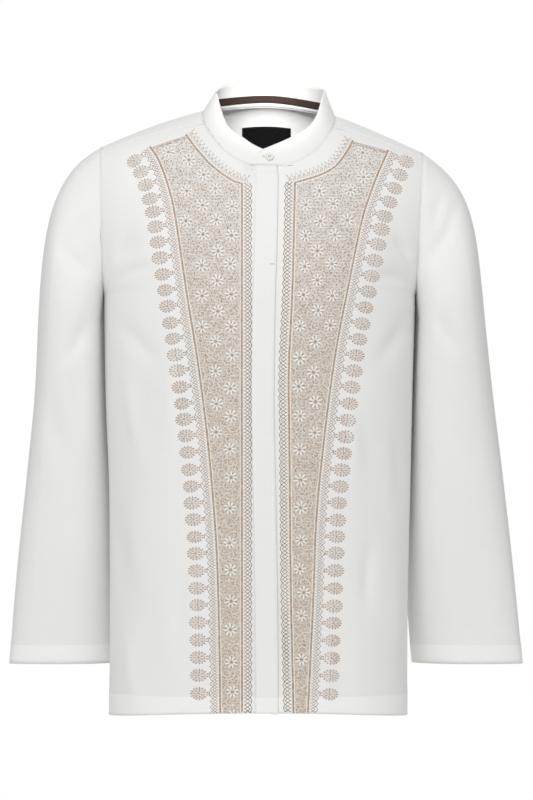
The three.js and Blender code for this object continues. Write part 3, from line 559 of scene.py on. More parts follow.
def bare_field(lines):
    """The cells of the drawing that lie inside the cords."""
    u, down = np.meshgrid(np.arange(400) * CELL, np.arange(1540) * CELL, indexing="ij")
    outer, inner = lines["outer"], lines["inner"]
    neck = np.vstack([lines["neck"][::-1], outer[:1]])
    field = u < np.interp(down, -outer[:, 1], outer[:, 0]) - CORD_EDGE
    field &= u > np.interp(down, -inner[:, 1], inner[:, 0]) + CORD_EDGE
    return field & (down > CORD_EDGE - np.interp(u, neck[:, 0], neck[:, 1]))


def is_bare(ground, points):
    cells = (np.array(points) * (1, -1) / CELL).astype(int)
    known = np.all((cells >= 0) & (cells < ground.shape), axis=1)
    return bool(known.all() and ground[tuple(cells.T)].all())


def cover(ground, points, reach):
    """Marks the ground within reach of some points as sewn."""
    spread = round(reach / CELL)
    for i, j in (np.array(points) * (1, -1) / CELL).astype(int):
        ground[max(i - spread, 0) : i + spread + 1, max(j - spread, 0) : j + spread + 1] = False


def heading(turn):
    return np.array((math.cos(turn), math.sin(turn)))


def satin_leaf(foot, turn, length, half_width):
    """A leaf in satin stitch: a short thread that swells in the middle."""
    path = [foot + heading(turn) * length * share for share in (0, 0.3, 0.7, 1)]
    return path, [0.15, half_width, 0.8 * half_width, 0.1]


def place_flowers(ground, lines, chance):
    """Flowers wherever a whole one fits. Returns (place, turn, size) rows."""
    spots = []
    for row in range(52):
        for column in range(4):
            z = FLOWER_TOP - FLOWER_ROWS * row
            u = np.interp(-z, -lines["inner"][:, 1], lines["inner"][:, 0])
            u += FLOWER_INSET + FLOWER_COLUMNS * (column + row % 2 / 2)
            spots.append((u + chance.uniform(-2, 2), z + chance.uniform(-2, 2), 0))
    for _ in range(FLOWER_TRIES):
        u, z = (chance.uniform(*span) for span in FLOWER_SPAN)
        spots.append((u, z, FLOWER_CLEARANCE))
    flowers = []
    for u, z, clearance in spots:
        middle = np.array((u, z))
        size = chance.uniform(*FLOWER_SIZES)
        rim = [middle + heading(k * math.pi / 4) * FLOWER_REACH * size * 0.94 for k in range(8)]
        if any(np.linalg.norm(middle - other) < clearance for other, _, _ in flowers):
            continue
        if is_bare(ground, [middle] + rim):
            flowers.append((middle, chance.uniform(0, math.pi), size))
            rings = np.arange(0, FLOWER_REACH * size, 0.8)
            cover(ground, [middle + heading(k) * r for r in rings for k in np.arange(0, 6.3, 0.3)], CELL)
    return flowers


def grow_vines(ground, flowers, chance):
    """Tendrils that wind up as they grow, with leaves to both sides, until the ground is taken.
    Returns the stems and the leaves."""
    stems, leaves = [], []
    starts = []
    for middle, turn, size in flowers:
        for k in range(4):
            turn += math.pi / 2 + chance.uniform(-0.3, 0.3)
            starts.append((middle + heading(turn) * (FLOWER_REACH * size + 1.4), turn + 0.9))
    for _ in range(VINE_TRIES):
        foot = np.array([chance.uniform(*span) for span in VINE_SPAN])
        starts.append((foot, chance.uniform(0, 6.3)))
    for foot, turn in starts:
        if not is_bare(ground, [foot]):
            continue
        bend = chance.choice((-1, 1)) * chance.uniform(0.8, 1.2)
        path = [foot]
        while len(path) < LONGEST_VINE:
            turn += bend * (0.04 + 0.014 * len(path))
            ahead = path[-1] + heading(turn) * VINE_STEP
            if not is_bare(ground, [ahead, ahead + heading(turn)]):
                break
            path.append(ahead)
        if len(path) < SHORTEST_VINE:
            continue
        stems.append((path, [0.42] * len(path)))
        cover(ground, path, 0.7)
        for k in range(2, len(path) - 2, 2):
            side = 1 if k % 4 == 2 else -1
            run = path[k + 1] - path[k]
            lean = math.atan2(run[1], run[0]) + side * 0.95
            leaf = satin_leaf(path[k] + heading(lean) * 1.1, lean, 2.9, 0.56)
            if is_bare(ground, leaf[0][2:]):
                leaves.append(leaf)
                cover(ground, leaf[0], 0.5)
    return stems, leaves


SEED_PITCH = 2.15
GROUND_PITCH = 1.9
GROUND_WIDTHS = (0.4, 0.68, 0.82)  # half widths at the yoke, below the chest and near the hem
GROUND_HEIGHTS = (60, 300, 700)  # how far down those are


def seed_stitches(ground, chance):
    """Short stitches this way and that over the ground which is left."""
    threads = []
    for u in np.arange(*SEED_SPAN[0], SEED_PITCH):
        for z in np.arange(*SEED_SPAN[1], SEED_PITCH):
            middle = np.array((u + chance.uniform(-0.7, 0.7), z + chance.uniform(-0.7, 0.7)))
            reach = heading(chance.uniform(0, math.pi)) * chance.uniform(0.6, 1)
            if is_bare(ground, [middle - reach, middle, middle + reach]):
                threads.append(([middle - reach, middle + reach], [0.34, 0.34]))
    return threads


def ground_rows(ground):
    """Level rows of flat pale stitches over the whole field, which tint it more towards the hem."""
    threads = []
    for down in np.arange(26, 764, GROUND_PITCH):
        inside = np.flatnonzero(ground[:, int(down / CELL)]) * CELL
        if len(inside) > 8:
            u = np.linspace(inside[0], inside[-1], max(3, int((inside[-1] - inside[0]) / 4)))
            half_width = np.interp(down, GROUND_HEIGHTS, GROUND_WIDTHS)
            threads.append(([(x, -down) for x in u], [half_width] * len(u)))
    return threads


def zigzag(line, near, far, phase, pitch):
    """A thread that goes to and fro beside a line, between two distances from it."""
    gone = np.insert(np.cumsum(np.linalg.norm(np.diff(line, axis=0), axis=1)), 0, 0)
    at = np.arange(0, gone[-1], pitch / 2)
    posts = np.column_stack([np.interp(at, gone, line[:, axis]) for axis in (0, 1)])
    return beside(posts, np.where((np.arange(len(posts)) + phase) % 2, near, far))


def lattice(line, side, bands):
    """The band along the far side of a cord: a row of dots, then a net with points outside."""
    threads = []
    for near, far, phase, pitch, half_width in bands:
        path = zigzag(line, side * near, side * far, phase, pitch)
        threads.append((path, [half_width] * len(path)))
    dots, tips = (beside(line, side * distance) for distance in (2.3, 3.3))
    threads += [([dots[k], tips[k]], [0.42, 0.42]) for k in range(0, len(line), 4)]
    return threads


def loose_threads(name, threads, sign):
    """A mesh of loose edges from drawn threads, with each point's half width as thickness."""
    points, edges, widths = [], [], []
    for path, width in threads:
        closed = len(path) > 3 and np.allclose(path[0], path[-1])
        first, count = len(points), len(path) - closed
        points += [(sign * u * MM, 0, z * MM) for u, z in path[:count]]
        widths += [w * MM for w in width[:count]]
        edges += [(first + k, first + k + 1) for k in range(count - 1)]
        edges += [(first + count - 1, first)] * closed
    mesh = bpy.data.meshes.new(name)
    mesh.from_pydata(points, edges, [])
    mesh.attributes.new("thickness", "FLOAT", "POINT").data.foreach_set("value", widths)
    return mesh


PETALS = 8
petal_turns = [k * 2 * math.pi / PETALS for k in range(PETALS)]
between_petals = [turn + math.pi / PETALS for turn in petal_turns]
flower_outline = [([heading(turn) * 3.6, heading(turn) * 6.6], [0.42, 0.2]) for turn in between_petals]
flower_outline += [([heading(turn) * 7.8, heading(turn) * 8.9], [0.42, 0.42]) for turn in petal_turns]
flower_outline.append(([heading(k * math.pi / 3) * 1.0 for k in range(7)], [0.55] * 7))
flower_petals = [satin_leaf(heading(turn) * 1.7, turn, 6.2, 1.55) for turn in petal_turns]

# A bud: an oval edged with a ring of satin grains, drawn out to the stem that faces the lattice.
# White petals lie in its middle with short stitches round them, on level rows of pale stitches.
BUD_REACH = np.array((11.2, 8.6))
BUD_GRAINS = 15
BUD_PETALS = 7
bud_outline, bud_petals, bud_ground = [], [], []
for across in np.arange(-6.5, 7, 1.6):
    half = 0.8 * BUD_REACH[0] * math.sqrt(1 - (across / BUD_REACH[1]) ** 2)
    ends = [np.array((along, across)) for along in (-half, 0, half)]
    bud_ground.append((ends, [0.5] * 3))
for k in range(BUD_GRAINS):
    turn = 2 * math.pi * (k + 0.5) / BUD_GRAINS
    rim = heading(turn) * BUD_REACH + (1.6 * max(0, math.cos(turn)) ** 8, 0)
    bud_outline.append(([rim * 0.78, rim * 0.86, rim * 0.95, rim], [0.3, 0.75, 0.75, 0.3]))
    bud_outline.append(([rim * 0.68, rim * 0.6], [0.4, 0.3]))
for k in range(BUD_PETALS):
    turns = [2 * math.pi * (k + shift) / BUD_PETALS for shift in (0, 0.5)]
    foot, tip = (heading(turns[0]) * BUD_REACH * share for share in (0.18, 0.56))
    bud_petals.append(([foot, (foot + tip) / 2, tip], [0.3, 1.1, 0.3]))
    bud_outline.append(([heading(turns[1]) * BUD_REACH * share for share in (0.3, 0.56)], [0.25, 0.5]))
bud_outline.append(([heading(k * math.pi / 2) * 0.8 for k in range(5)], [0.45] * 5))
bud_outline.append(([np.array((12.8, 0)), np.array((14.6, 0.4))], [0.45, 0.45]))
for side in (-1, 1):
    bud_outline.append(satin_leaf(np.array((13.0, 0.8 * side)), side * 1.0, 3.0, 0.6))


def new_tree(name, sockets):
    """A geometry-node tree with named inputs. Returns it with its input sockets."""
    tree = bpy.data.node_groups.new(name, "GeometryNodeTree")
    sockets = {"Geometry": "Geometry", **sockets, "Material": "Material"}
    for socket, kind in sockets.items():
        tree.interface.new_socket(socket, in_out="INPUT", socket_type="NodeSocket" + kind)
    tree.interface.new_socket("Geometry", in_out="OUTPUT", socket_type="NodeSocketGeometry")
    return tree, add(tree, "NodeGroupInput").outputs


def end_tree(tree, shape, material):
    """Ends a tree in real geometry with a material."""
    whole = add(tree, "GeometryNodeRealizeInstances", {"Geometry": shape})
    dressed = add(tree, "GeometryNodeSetMaterial", {"Geometry": whole.outputs[0], "Material": material})
    add(tree, "NodeGroupOutput", {"Geometry": dressed.outputs[0]})
    return tree


def motif_tree():
    """Sets a drawn motif on each point, turned in the drawing's plane and sized."""
    tree, given = new_tree("scattered_motifs", {"Motif": "Object"})
    turn = add(tree, "GeometryNodeInputNamedAttribute", {"Name": "turn"}, data_type="FLOAT")
    size = add(tree, "GeometryNodeInputNamedAttribute", {"Name": "size"}, data_type="FLOAT")
    turned = add(tree, "ShaderNodeCombineXYZ", {"Y": turn.outputs["Attribute"]})
    motif = add(tree, "GeometryNodeObjectInfo", {"Object": given["Motif"]})
    copy = {"Instance": motif.outputs["Geometry"], "Rotation": turned.outputs[0], "Scale": size.outputs[0]}
    copies = add(tree, "GeometryNodeInstanceOnPoints", {"Points": given["Geometry"], **copy})
    return end_tree(tree, copies.outputs[0], given["Material"])


BEFORE_SHIRT = -0.4  # from here, in metres, threads are dropped on the fronts


def thread_tree():
    """Lays loose edges on a cloth that is met from the front, and gives them a thread's body."""
    sockets = {"Cloth": "Object", "Lift": "Float", "Flatness": "Float", "Sides": "Int"}
    tree, given = new_tree("laid_threads", sockets)
    cloth = add(tree, "GeometryNodeObjectInfo", {"Object": given["Cloth"]}).outputs["Geometry"]
    place = add(tree, "GeometryNodeInputPosition").outputs[0]
    drawn = add(tree, "ShaderNodeSeparateXYZ", {0: place}).outputs
    before = add(tree, "ShaderNodeCombineXYZ", {"X": drawn["X"], "Y": BEFORE_SHIRT, "Z": drawn["Z"]})
    fall = {"Source Position": before.outputs[0], "Ray Direction": (0, 1, 0), "Ray Length": 1}
    ray = add(tree, "GeometryNodeRaycast", {"Target Geometry": cloth, **fall}).outputs
    facing = {"Geometry": given["Geometry"], "Name": "out", "Value": ray["Hit Normal"]}
    out = add(tree, "GeometryNodeStoreNamedAttribute", facing, data_type="FLOAT_VECTOR")
    missed = add(tree, "FunctionNodeBooleanMath", {0: ray["Is Hit"]}, operation="NOT")
    met = {"Geometry": out.outputs[0], "Selection": missed.outputs[0]}
    kept = add(tree, "GeometryNodeDeleteGeometry", met)
    rise = {0: ray["Hit Normal"], "Scale": given["Lift"]}
    lift = add(tree, "ShaderNodeVectorMath", rise, operation="SCALE")
    rest = {"Position": ray["Hit Position"], "Offset": lift.outputs[0]}
    laid = add(tree, "GeometryNodeSetPosition", {"Geometry": kept.outputs[0], **rest})
    path = add(tree, "GeometryNodeMeshToCurve", {"Mesh": laid.outputs[0]})
    out = add(tree, "GeometryNodeInputNamedAttribute", {"Name": "out"}, data_type="FLOAT_VECTOR")
    above = {"Curve": path.outputs[0], "Normal": out.outputs["Attribute"]}
    upright = add(tree, "GeometryNodeSetCurveNormal", above, mode="FREE")
    section = add(tree, "GeometryNodeCurvePrimitiveCircle", {"Resolution": given["Sides"], "Radius": 1})
    flat = add(tree, "ShaderNodeCombineXYZ", {"X": given["Flatness"], "Y": 1, "Z": 1})
    low = add(tree, "GeometryNodeTransform", {"Geometry": section.outputs[0], "Scale": flat.outputs[0]})
    width = add(tree, "GeometryNodeInputNamedAttribute", {"Name": "thickness"}, data_type="FLOAT")
    cut = {"Profile Curve": low.outputs[0], "Scale": width.outputs["Attribute"], "Fill Caps": True}
    body = add(tree, "GeometryNodeCurveToMesh", {"Curve": upright.outputs[0], **cut})
    return end_tree(tree, body.outputs[0], given["Material"])


def run_trees(name, mesh, stages):
    """Runs a mesh through geometry-node trees, each with its inputs by name. Returns the object."""
    draft = new_object(name + "_draft", mesh)
    for tree, inputs in stages:
        stage = draft.modifiers.new(tree.name, "NODES")
        stage.node_group = tree
        for socket in tree.interface.items_tree:
            if socket.in_out == "INPUT" and socket.name in inputs:
                stage[socket.identifier] = inputs[socket.name]
    evaluated = draft.evaluated_get(bpy.context.evaluated_depsgraph_get())
    mesh = bpy.data.meshes.new_from_object(evaluated)
    mesh.name = name
    bpy.data.objects.remove(draft)
    mesh.shade_smooth()
    return new_object(name, mesh)


TWIST_PITCH = 0.4 * MM


def rayon(name, dark, light, sheen):
    """Twisted rayon: a soft lustre, with the twist's fine ridges and slight changes of shade."""
    material, tree, shader = new_material(name, {"Roughness": 0.42, "Sheen Weight": sheen})
    place = add(tree, "ShaderNodeTexCoord").outputs["Object"]
    shade = add(tree, "ShaderNodeTexNoise", {"Vector": place, "Scale": 420, "Detail": 3})
    tint = add(tree, "ShaderNodeValToRGB", {"Fac": shade.outputs["Fac"]})
    for element, tone, at in zip(tint.color_ramp.elements, (dark, light), (0.35, 0.65)):
        element.color = linear(tone)
        element.position = at
    tree.links.new(tint.outputs["Color"], shader.inputs["Base Color"])
    ridges = {"Vector": place, "Scale": WAVE_PITCH / TWIST_PITCH}
    twist = add(tree, "ShaderNodeTexWave", ridges, bands_direction="DIAGONAL")
    relief = {"Height": twist.outputs["Fac"], "Strength": 0.35, "Distance": 0.08 * MM}
    bump = add(tree, "ShaderNodeBump", relief)
    tree.links.new(bump.outputs["Normal"], shader.inputs["Normal"])
    return material


tan_rayon = rayon("tan_rayon_thread", "A3876C", "CDB399", 0.15)
beige_rayon = rayon("beige_rayon_thread", "D3C0AF", "E4D6C8", 0.1)
# The inner lattices' brown thread is partly the thread's own darker tone and partly painted shade: the shadow
# of the placket's fold on the band beside it.
shade_darkened_brown_rayon = rayon("brown_rayon_thread", "866D58", "AB917A", 0.15)
white_rayon = rayon("white_rayon_thread", "F1F0EC", "FAF9F6", 0.1)
scattered = motif_tree()
laid = thread_tree()


def drawn_motif(name, threads):
    """A motif as an object of loose edges, for the trees to copy."""
    return new_object(name, loose_threads(name, threads, 1))


def motif_places(name, rows, sign):
    """Points with each motif's turn and size."""
    mesh = bpy.data.meshes.new(name)
    mesh.from_pydata([(sign * place[0] * MM, 0, place[1] * MM) for place, _, _ in rows], [], [])
    turns = [-turn if sign > 0 else turn - math.pi for _, turn, _ in rows]
    mesh.attributes.new("turn", "FLOAT", "POINT").data.foreach_set("value", turns)
    mesh.attributes.new("size", "FLOAT", "POINT").data.foreach_set("value", [size for _, _, size in rows])
    return mesh


def sew(name, mesh, cloth, thread, lift=0.1, flatness=0.55, sides=4, motif=None):
    """Lays drawn threads, or copies of a motif at drawn places, on a cloth and fixes them to it."""
    inputs = {"Cloth": cloth, "Lift": lift * MM, "Flatness": flatness, "Sides": sides, "Material": thread}
    copies = [(scattered, {"Motif": motif})] if motif else []
    piece = run_trees(name, mesh, [*copies, (laid, inputs)])
    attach(piece, "root")
    return piece


flower_motif = drawn_motif("flower_outline", flower_outline)
petal_motif = drawn_motif("flower_petals", flower_petals)
bud_motif = drawn_motif("bud_outline", bud_outline)
heart_motif = drawn_motif("bud_petals", bud_petals)
base_motif = drawn_motif("bud_ground", bud_ground)
BUD_PITCH = (19.4, 22.4)  # at the shoulder and at the hem
BUD_DISTANCE = 26.5  # from the outer cord to the buds' middles
for seed, (side, sign, cloth) in enumerate((("right", -1, front_right), ("left", 1, front_left))):
    chance = random.Random(71 + seed)
    lines = {name: smooth_line(rows, 1) for name, rows in CORDS[side].items()}
    ground = bare_field(lines)
    rows = ground_rows(ground)
    flowers = place_flowers(ground, lines, chance)
    stems, leaves = grow_vines(ground, flowers, chance)
    seeds = seed_stitches(ground, chance)
    # Every fourth short stitch is white, like the stems.
    stems += seeds[::4]
    leaves += [seed for k, seed in enumerate(seeds) if k % 4]
    cords = [(line, [1.2] * len(line)) for line in (lines[name][::3] for name in lines)]
    inner_net = lattice(lines["inner"], -1, LATTICES["inner"])
    nets = lattice(lines["outer"], 1, LATTICES["outer"])
    # The neck's net runs on past its cord's corner, to close the inner net's top.
    corner = lines["neck"][-1] + np.outer(np.arange(1, 10), lines["neck"][-1] - lines["neck"][-2])
    nets += lattice(np.vstack([lines["neck"], corner]), -1, LATTICES["neck"])
    # A double row of short stitches closes the field under the yoke's seam.
    top = np.linspace(lines["neck"][0], lines["outer"][0], 28)
    for distance in (-1.2, -3.4):
        dots, tips = beside(top, distance), beside(top, distance - 1.6)
        nets += [([dot, tip], [0.45, 0.45]) for dot, tip in zip(dots, tips)]
    # The buds stand a little farther apart towards the hem.
    bud_line = beside(lines["outer"], BUD_DISTANCE)
    buds = []
    at = 4.0
    while at < len(bud_line) - 6:
        middle, facing = bud_line[int(at)], lines["outer"][int(at)]
        if buds and np.linalg.norm(middle - buds[-1][0]) < BUD_PITCH[0] - 3:
            at += 1
            continue
        buds.append((middle, math.atan2(*(facing - middle)[::-1]), chance.uniform(0.9, 1.0)))
        at += np.interp(-middle[1], (0, 760), BUD_PITCH)
    flower_places = motif_places(side + "_flower_places", flowers, sign)
    bud_places = motif_places(side + "_bud_places", buds, sign)
    # What is drawn and its thread, then its lift, its flatness and its number of sides.
    drawings = {
        "cords": (cords, tan_rayon, 0.1, 0.4, 8),
        "ground": (rows, beige_rayon, 0, 0.35),
        # The inner lattices take the darker brown thread, which holds painted shade from the placket's fold.
        "inner_lattice": (inner_net, shade_darkened_brown_rayon),
        "lattices": (nets, tan_rayon),
        "stems": (stems, white_rayon, 0.2),
        "leaves": (leaves, tan_rayon, 0.15),
    }
    for kind, (threads, *thread) in drawings.items():
        drawn = loose_threads(side + "_" + kind + "_drawn", threads, sign)
        sew(side + "_front_" + kind, drawn, cloth, *thread)
    # What is copied and where, then the same.
    motifs = {
        "petals": (petal_motif, flower_places, white_rayon, 0.25, 0.3, 6),
        "flowers": (flower_motif, flower_places, tan_rayon, 0.3),
        "buds": (bud_motif, bud_places, tan_rayon),
        "bud_ground": (base_motif, bud_places, beige_rayon, 0, 0.35),
        "bud_petals": (heart_motif, bud_places, white_rayon, 0.2, 0.4),
    }
    for kind, (motif, places, *thread) in motifs.items():
        sew(side + "_front_" + kind, places, cloth, *thread, motif=motif)
for motif in (flower_motif, petal_motif, bud_motif, heart_motif, base_motif):
    bpy.data.objects.remove(motif)

# ---------------------------------------------------------------- collar button

# The one button that shows is a four-hole shell button, sewn to the collar's lapping end with white
# cotton thread. A buttonhole, edged with close bar stitches, runs level behind it.

# White shell: glossy, with a faint cloudy grain.
shell, tree, shader = new_material("white_shell", {"Roughness": 0.22, "Coat Weight": 0.4})
place = add(tree, "ShaderNodeTexCoord").outputs["Object"]
grain = add(tree, "ShaderNodeTexWave", {"Vector": place, "Scale": 160, "Distortion": 9, "Detail": 2})
tint = add(tree, "ShaderNodeValToRGB", {"Fac": grain.outputs["Fac"]})
for element, tone in zip(tint.color_ramp.elements, ("E6E3DC", "F7F5F1")):
    element.color = linear(tone)
tree.links.new(tint.outputs["Color"], shader.inputs["Base Color"])

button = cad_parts["collar_button"]
button.material_slots[0].material = shell

# White cotton sewing thread: matt, with a soft twist.
white_thread = rayon("white_cotton_thread", "E9E8E4", "F6F5F2", 0.05)
button_low, button_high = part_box("collar_button")
middle_x, middle_z = (button_low.x + button_high.x) / 2 / MM, (button_low.z + button_high.z) / 2 / MM
strands = []
HOLE_RISE = 1.05  # from the button's middle to each pair of holes
STRAND_REACH = 1.3
for rise in (-HOLE_RISE, HOLE_RISE):
    for shift in (-0.2, 0.2):
        z = middle_z + rise + shift
        path = [(middle_x + reach, z) for reach in (-STRAND_REACH, 0, STRAND_REACH)]
        strands.append((path, [0.2] * 3))
sew("button_thread", loose_threads("button_strands", strands, 1), button, white_thread, lift=0.15, sides=6)
bars = []
for x in np.arange(-9, 5.6, 0.6):
    for low, high in ((-1.5, -0.15), (0.15, 1.5)):
        bars.append(([(middle_x + x, middle_z + low), (middle_x + x, middle_z + high)], [0.22, 0.22]))
sew("buttonhole", loose_threads("buttonhole_bars", bars, 1), collar, white_thread)

# ---------------------------------------------------------------- seams, hems and their stitching

# White cotton thread holds the seams and hems in rows of 3 mm lockstitches, a presser foot's edge
# away from each seam. Where two panels meet, the fold of the seam allowance fills the join.
STITCH_PITCH = 3.0
EDGE_ROW = 1.6  # from a seam to its row of stitches
FELL_ROW = 6.5  # and to the second row
SEAM_FOLD = 0.7  # half the thickness of the folded allowance

# Lines inside the torso, the arms and the neck, which tell a cloth's outer face from its inner one.
CORES = {
    "torso": (Vector((0, 0, -0.12)), Vector((0, 0, -0.6))),
    "left_arm": (Vector((0.19, 0.01, -0.12)), Vector((0.26, 0.03, -0.7))),
    "right_arm": (Vector((-0.2, 0.01, -0.12)), Vector((-0.26, 0.03, -0.7))),
    "neck": (Vector((0.0035, -0.009, -0.08)), Vector((0.0035, -0.009, 0.04))),
}


def rim_rows(piece, core, rows, inside=False):
    """Loose edges beside a cloth's rim. Each row: how far in from the rim, and where it is kept."""
    start, end = CORES[core]
    form = bmesh.new()
    form.from_mesh(piece.data)
    form.normal_update()
    points, edges = [], []
    for inset, keep in rows:
        moved, kept = {}, []
        for edge in form.edges:
            if len(edge.link_faces) != 2 or edge.calc_face_angle() < RIM_ANGLE:
                continue
            middle = (edge.verts[0].co + edge.verts[1].co) / 2
            if not keep(*(middle / MM)):
                continue
            wall = max(edge.link_faces, key=lambda face: face.calc_area())
            share = (middle - start).dot(end - start) / (end - start).length_squared
            out = middle - start.lerp(end, min(1, max(0, share)))
            if (wall.normal.dot(out) > 0) == inside:
                continue
            along = (edge.verts[1].co - edge.verts[0].co).normalized()
            inward = wall.calc_center_median() - middle
            inward = (inward - inward.dot(along) * along).normalized()
            kept.append(edge)
            for corner in edge.verts:
                moved.setdefault(corner, []).append(corner.co + inward * inset * MM)
        number = {corner: len(points) + k for k, corner in enumerate(moved)}
        points += [sum(places, Vector()) / len(places) for places in moved.values()]
        edges += [(number[edge.verts[0]], number[edge.verts[1]]) for edge in kept]
    form.free()
    mesh = bpy.data.meshes.new(piece.name + "_rows")
    mesh.from_pydata(points, edges, [])
    return mesh


def stitch_tree():
    """Sets a stitch at every step along loose edges, lying on the nearest cloth."""
    sockets = {"Cloth": "Object", "Pitch": "Float", "Length": "Float", "Width": "Float"}
    tree, given = new_tree("lockstitches", sockets)
    cloth = add(tree, "GeometryNodeObjectInfo", {"Object": given["Cloth"]}).outputs["Geometry"]
    path = add(tree, "GeometryNodeMeshToCurve", {"Mesh": given["Geometry"]})
    row = {"Curve": path.outputs[0], "Length": given["Pitch"]}
    steps = add(tree, "GeometryNodeResampleCurve", row, mode="LENGTH")
    place = add(tree, "GeometryNodeInputPosition").outputs[0]
    nearest = add(tree, "GeometryNodeProximity", {0: cloth, "Sample Position": place}, target_element="FACES")
    on_cloth = {0: steps.outputs[0], "Position": nearest.outputs["Position"]}
    laid = add(tree, "GeometryNodeSetPosition", on_cloth)
    facing = add(tree, "GeometryNodeInputNormal").outputs[0]
    sample = {"Mesh": cloth, "Value": facing, "Sample Position": place}
    normal = add(tree, "GeometryNodeSampleNearestSurface", sample, data_type="FLOAT_VECTOR")
    upright = add(tree, "FunctionNodeAlignRotationToVector", {"Vector": normal.outputs[0]}, axis="Z")
    run = add(tree, "GeometryNodeInputTangent").outputs[0]
    along = {"Rotation": upright.outputs[0], "Vector": run}
    turned = add(tree, "FunctionNodeAlignRotationToVector", along, axis="X", pivot_axis="Z")
    grain = add(tree, "GeometryNodeMeshUVSphere", {"Segments": 6, "Rings": 4, "Radius": 0.5})
    size = add(tree, "ShaderNodeCombineXYZ", {"X": given["Length"], "Y": given["Width"], "Z": given["Width"]})
    stitch = add(tree, "GeometryNodeTransform", {"Geometry": grain.outputs[0], "Scale": size.outputs[0]})
    copy = {"Instance": stitch.outputs[0], "Rotation": turned.outputs[0]}
    copies = add(tree, "GeometryNodeInstanceOnPoints", {"Points": laid.outputs[0], **copy})
    return end_tree(tree, copies.outputs[0], given["Material"])


lockstitches = stitch_tree()
STITCH_LENGTH = 0.76 * STITCH_PITCH
STITCH_WIDTH = 0.42


def stitch(piece, core, rows, thread=white_thread, inside=False, slot="white_cotton"):
    """Sews rows of stitches along a cloth's rims."""
    inputs = {
        "Cloth": piece,
        "Pitch": STITCH_PITCH * MM,
        "Length": STITCH_LENGTH * MM,
        "Width": STITCH_WIDTH * MM,
        "Material": thread,
    }
    name = piece.name + "_stitches"
    stitches = run_trees(name, rim_rows(piece, core, rows, inside), [(lockstitches, inputs)])
    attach(stitches, "root")


HEM_ROW = 28.5
CUFF_ROW = 24.5
TAPE_ROW = 0.9
LABEL_ROW = 1.2
BODY_SIDE = 150  # the side seams and the armholes lie beyond this, on both sides
ARMHOLE_FOOT = -232
HEM_RIM = -752
CUFF_RIM = -695
NECK_MIDDLE = (3.5, -9)
NECK_REACH = (96, 97)  # the neck's rim lies within the first, and every other rim beyond the second


def from_neck(x, y):
    """How far a place is from the upright line through the neck's middle."""
    return math.hypot(x - NECK_MIDDLE[0], y - NECK_MIDDLE[1])


def at_side(x, y, z):
    return abs(x) > BODY_SIDE


def at_armhole(x, y, z):
    return abs(x) > BODY_SIDE and z > ARMHOLE_FOOT


def at_foot(x, y, z):
    return z < HEM_RIM


def at_yoke_seam(x, y, z):
    return from_neck(x, y) > NECK_REACH[1]


def everywhere(x, y, z):
    return True


for front in (front_left, front_right):
    stitch(front, "torso", [(EDGE_ROW, at_side), (FELL_ROW, at_armhole), (HEM_ROW, at_foot)])
stitch(back, "torso", [(EDGE_ROW, at_armhole), (FELL_ROW, at_armhole), (HEM_ROW, at_foot)])
stitch(yoke, "torso", [(EDGE_ROW, at_yoke_seam)])
stitch(placket, "torso", [(EDGE_ROW, lambda x, y, z: x > 5)])
for sleeve, arm in ((sleeve_left, "left_arm"), (sleeve_right, "right_arm")):
    stitch(sleeve, arm, [(CUFF_ROW, lambda x, y, z: z < CUFF_RIM)])
stitch(collar, "neck", [(EDGE_ROW, everywhere)])
brown_thread = rayon("brown_cotton_thread", "2F231D", "4A3A31", 0.05)
black_thread = rayon("black_polyester_thread", "101011", "1C1C1E", 0.05)
stitch(tape, "neck", [(TAPE_ROW, everywhere)], brown_thread, True, "brown_tape")
stitch(label, "neck", [(LABEL_ROW, everywhere)], black_thread, True, "black_label")

# A row across the placket's top closes it, and a bar tack holds it lower down.
PLACKET_CROSS_ROW = -80.9
BAR_TACK = -196.2
cross = []
for x in np.arange(-12.6, 17, STITCH_PITCH):
    cross.append(([(x, PLACKET_CROSS_ROW), (x + STITCH_LENGTH, PLACKET_CROSS_ROW)], [0.2, 0.2]))
for x in np.arange(5.5, 11, 0.55):
    cross.append(([(x, BAR_TACK - 0.9), (x, BAR_TACK + 0.9)], [0.26, 0.26]))
sew("placket_cross_rows", loose_threads("cross_rows", cross, 1), placket, white_thread)


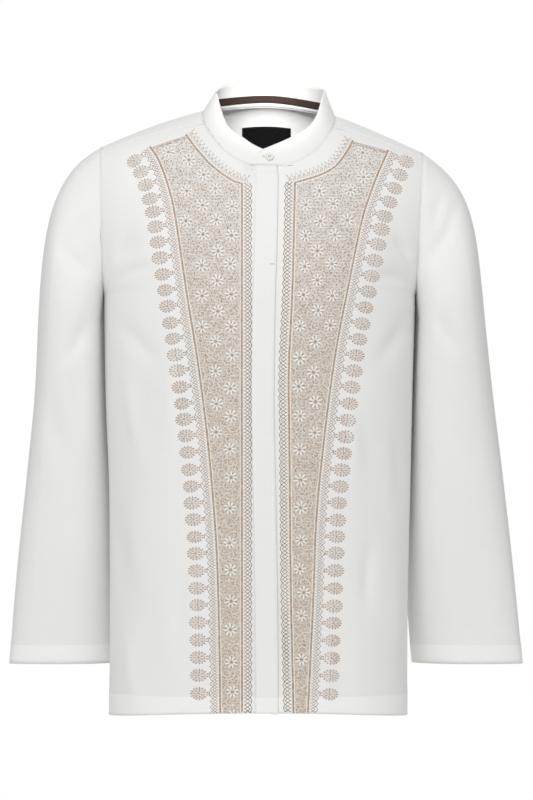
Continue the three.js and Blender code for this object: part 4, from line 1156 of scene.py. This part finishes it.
def roll_tree():
    """Runs a low roll of cloth along loose edges."""
    tree, given = new_tree("seam_rolls", {"Thickness": "Float"})
    path = add(tree, "GeometryNodeMeshToCurve", {"Mesh": given["Geometry"]})
    round_it = {"Resolution": 6, "Radius": given["Thickness"]}
    section = add(tree, "GeometryNodeCurvePrimitiveCircle", round_it)
    run = {"Curve": path.outputs[0], "Profile Curve": section.outputs[0], "Fill Caps": True}
    body = add(tree, "GeometryNodeCurveToMesh", run)
    return end_tree(tree, body.outputs[0], given["Material"])


# The outline of the collar's foot, a blunt oval. A place is on the foot from this share of it.
FOOT_HALF_WIDTH = 85
FOOT_FRONT_DEPTH = 66.9
FOOT_BACK_DEPTH = 60
FOOT_POWER = 2.3
FOOT_SHARE = 0.935


def at_collar_foot(x, y, z):
    """Along the collar's foot, which is wider than its top, but not up its lapping end."""
    across, forward = abs(x - NECK_MIDDLE[0]), abs(y - NECK_MIDDLE[1])
    depth = FOOT_FRONT_DEPTH if y < NECK_MIDDLE[1] else FOOT_BACK_DEPTH
    wide = (across / FOOT_HALF_WIDTH) ** FOOT_POWER + (forward / depth) ** FOOT_POWER > FOOT_SHARE
    return wide and z < 12 and not (x < 16 and y < -60 and z > -69)


SLEEVE_HEAD_FOOT = -300
CENTRE_FRONT = (-24, 20)  # here the placket and the lap under it lie at the neck


def at_neckline(x, y, z):
    """Along the neck, but for its centre front."""
    return from_neck(x, y) < NECK_REACH[0] and not CENTRE_FRONT[0] <= x <= CENTRE_FRONT[1]


def at_sleeve_head(x, y, z):
    return z > SLEEVE_HEAD_FOOT


# The folded seam allowances: a low roll of shirting along each join.
seam_rolls = roll_tree()
white_fold = shirting("white_cotton_fold", HEM_TOP, on_uv=False)
ROLLS = [
    (front_left, "torso", at_armhole),
    (front_right, "torso", at_armhole),
    (back, "torso", at_armhole),
    (sleeve_left, "left_arm", at_sleeve_head),
    (sleeve_right, "right_arm", at_sleeve_head),
    (yoke, "torso", lambda x, y, z: at_yoke_seam(x, y, z) and abs(x) < 190),
    (collar, "neck", at_collar_foot),
    (front_left, "neck", at_neckline),
    (front_right, "neck", at_neckline),
    (placket, "torso", lambda x, y, z: x > 5 and z < -80),
]
for piece, core, keep in ROLLS:
    inputs = {"Thickness": SEAM_FOLD * MM, "Material": white_fold}
    name = piece.name + "_" + core + "_seam_fold"
    roll = run_trees(name, rim_rows(piece, core, [(-0.5, keep)]), [(seam_rolls, inputs)])
    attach(roll, "root")
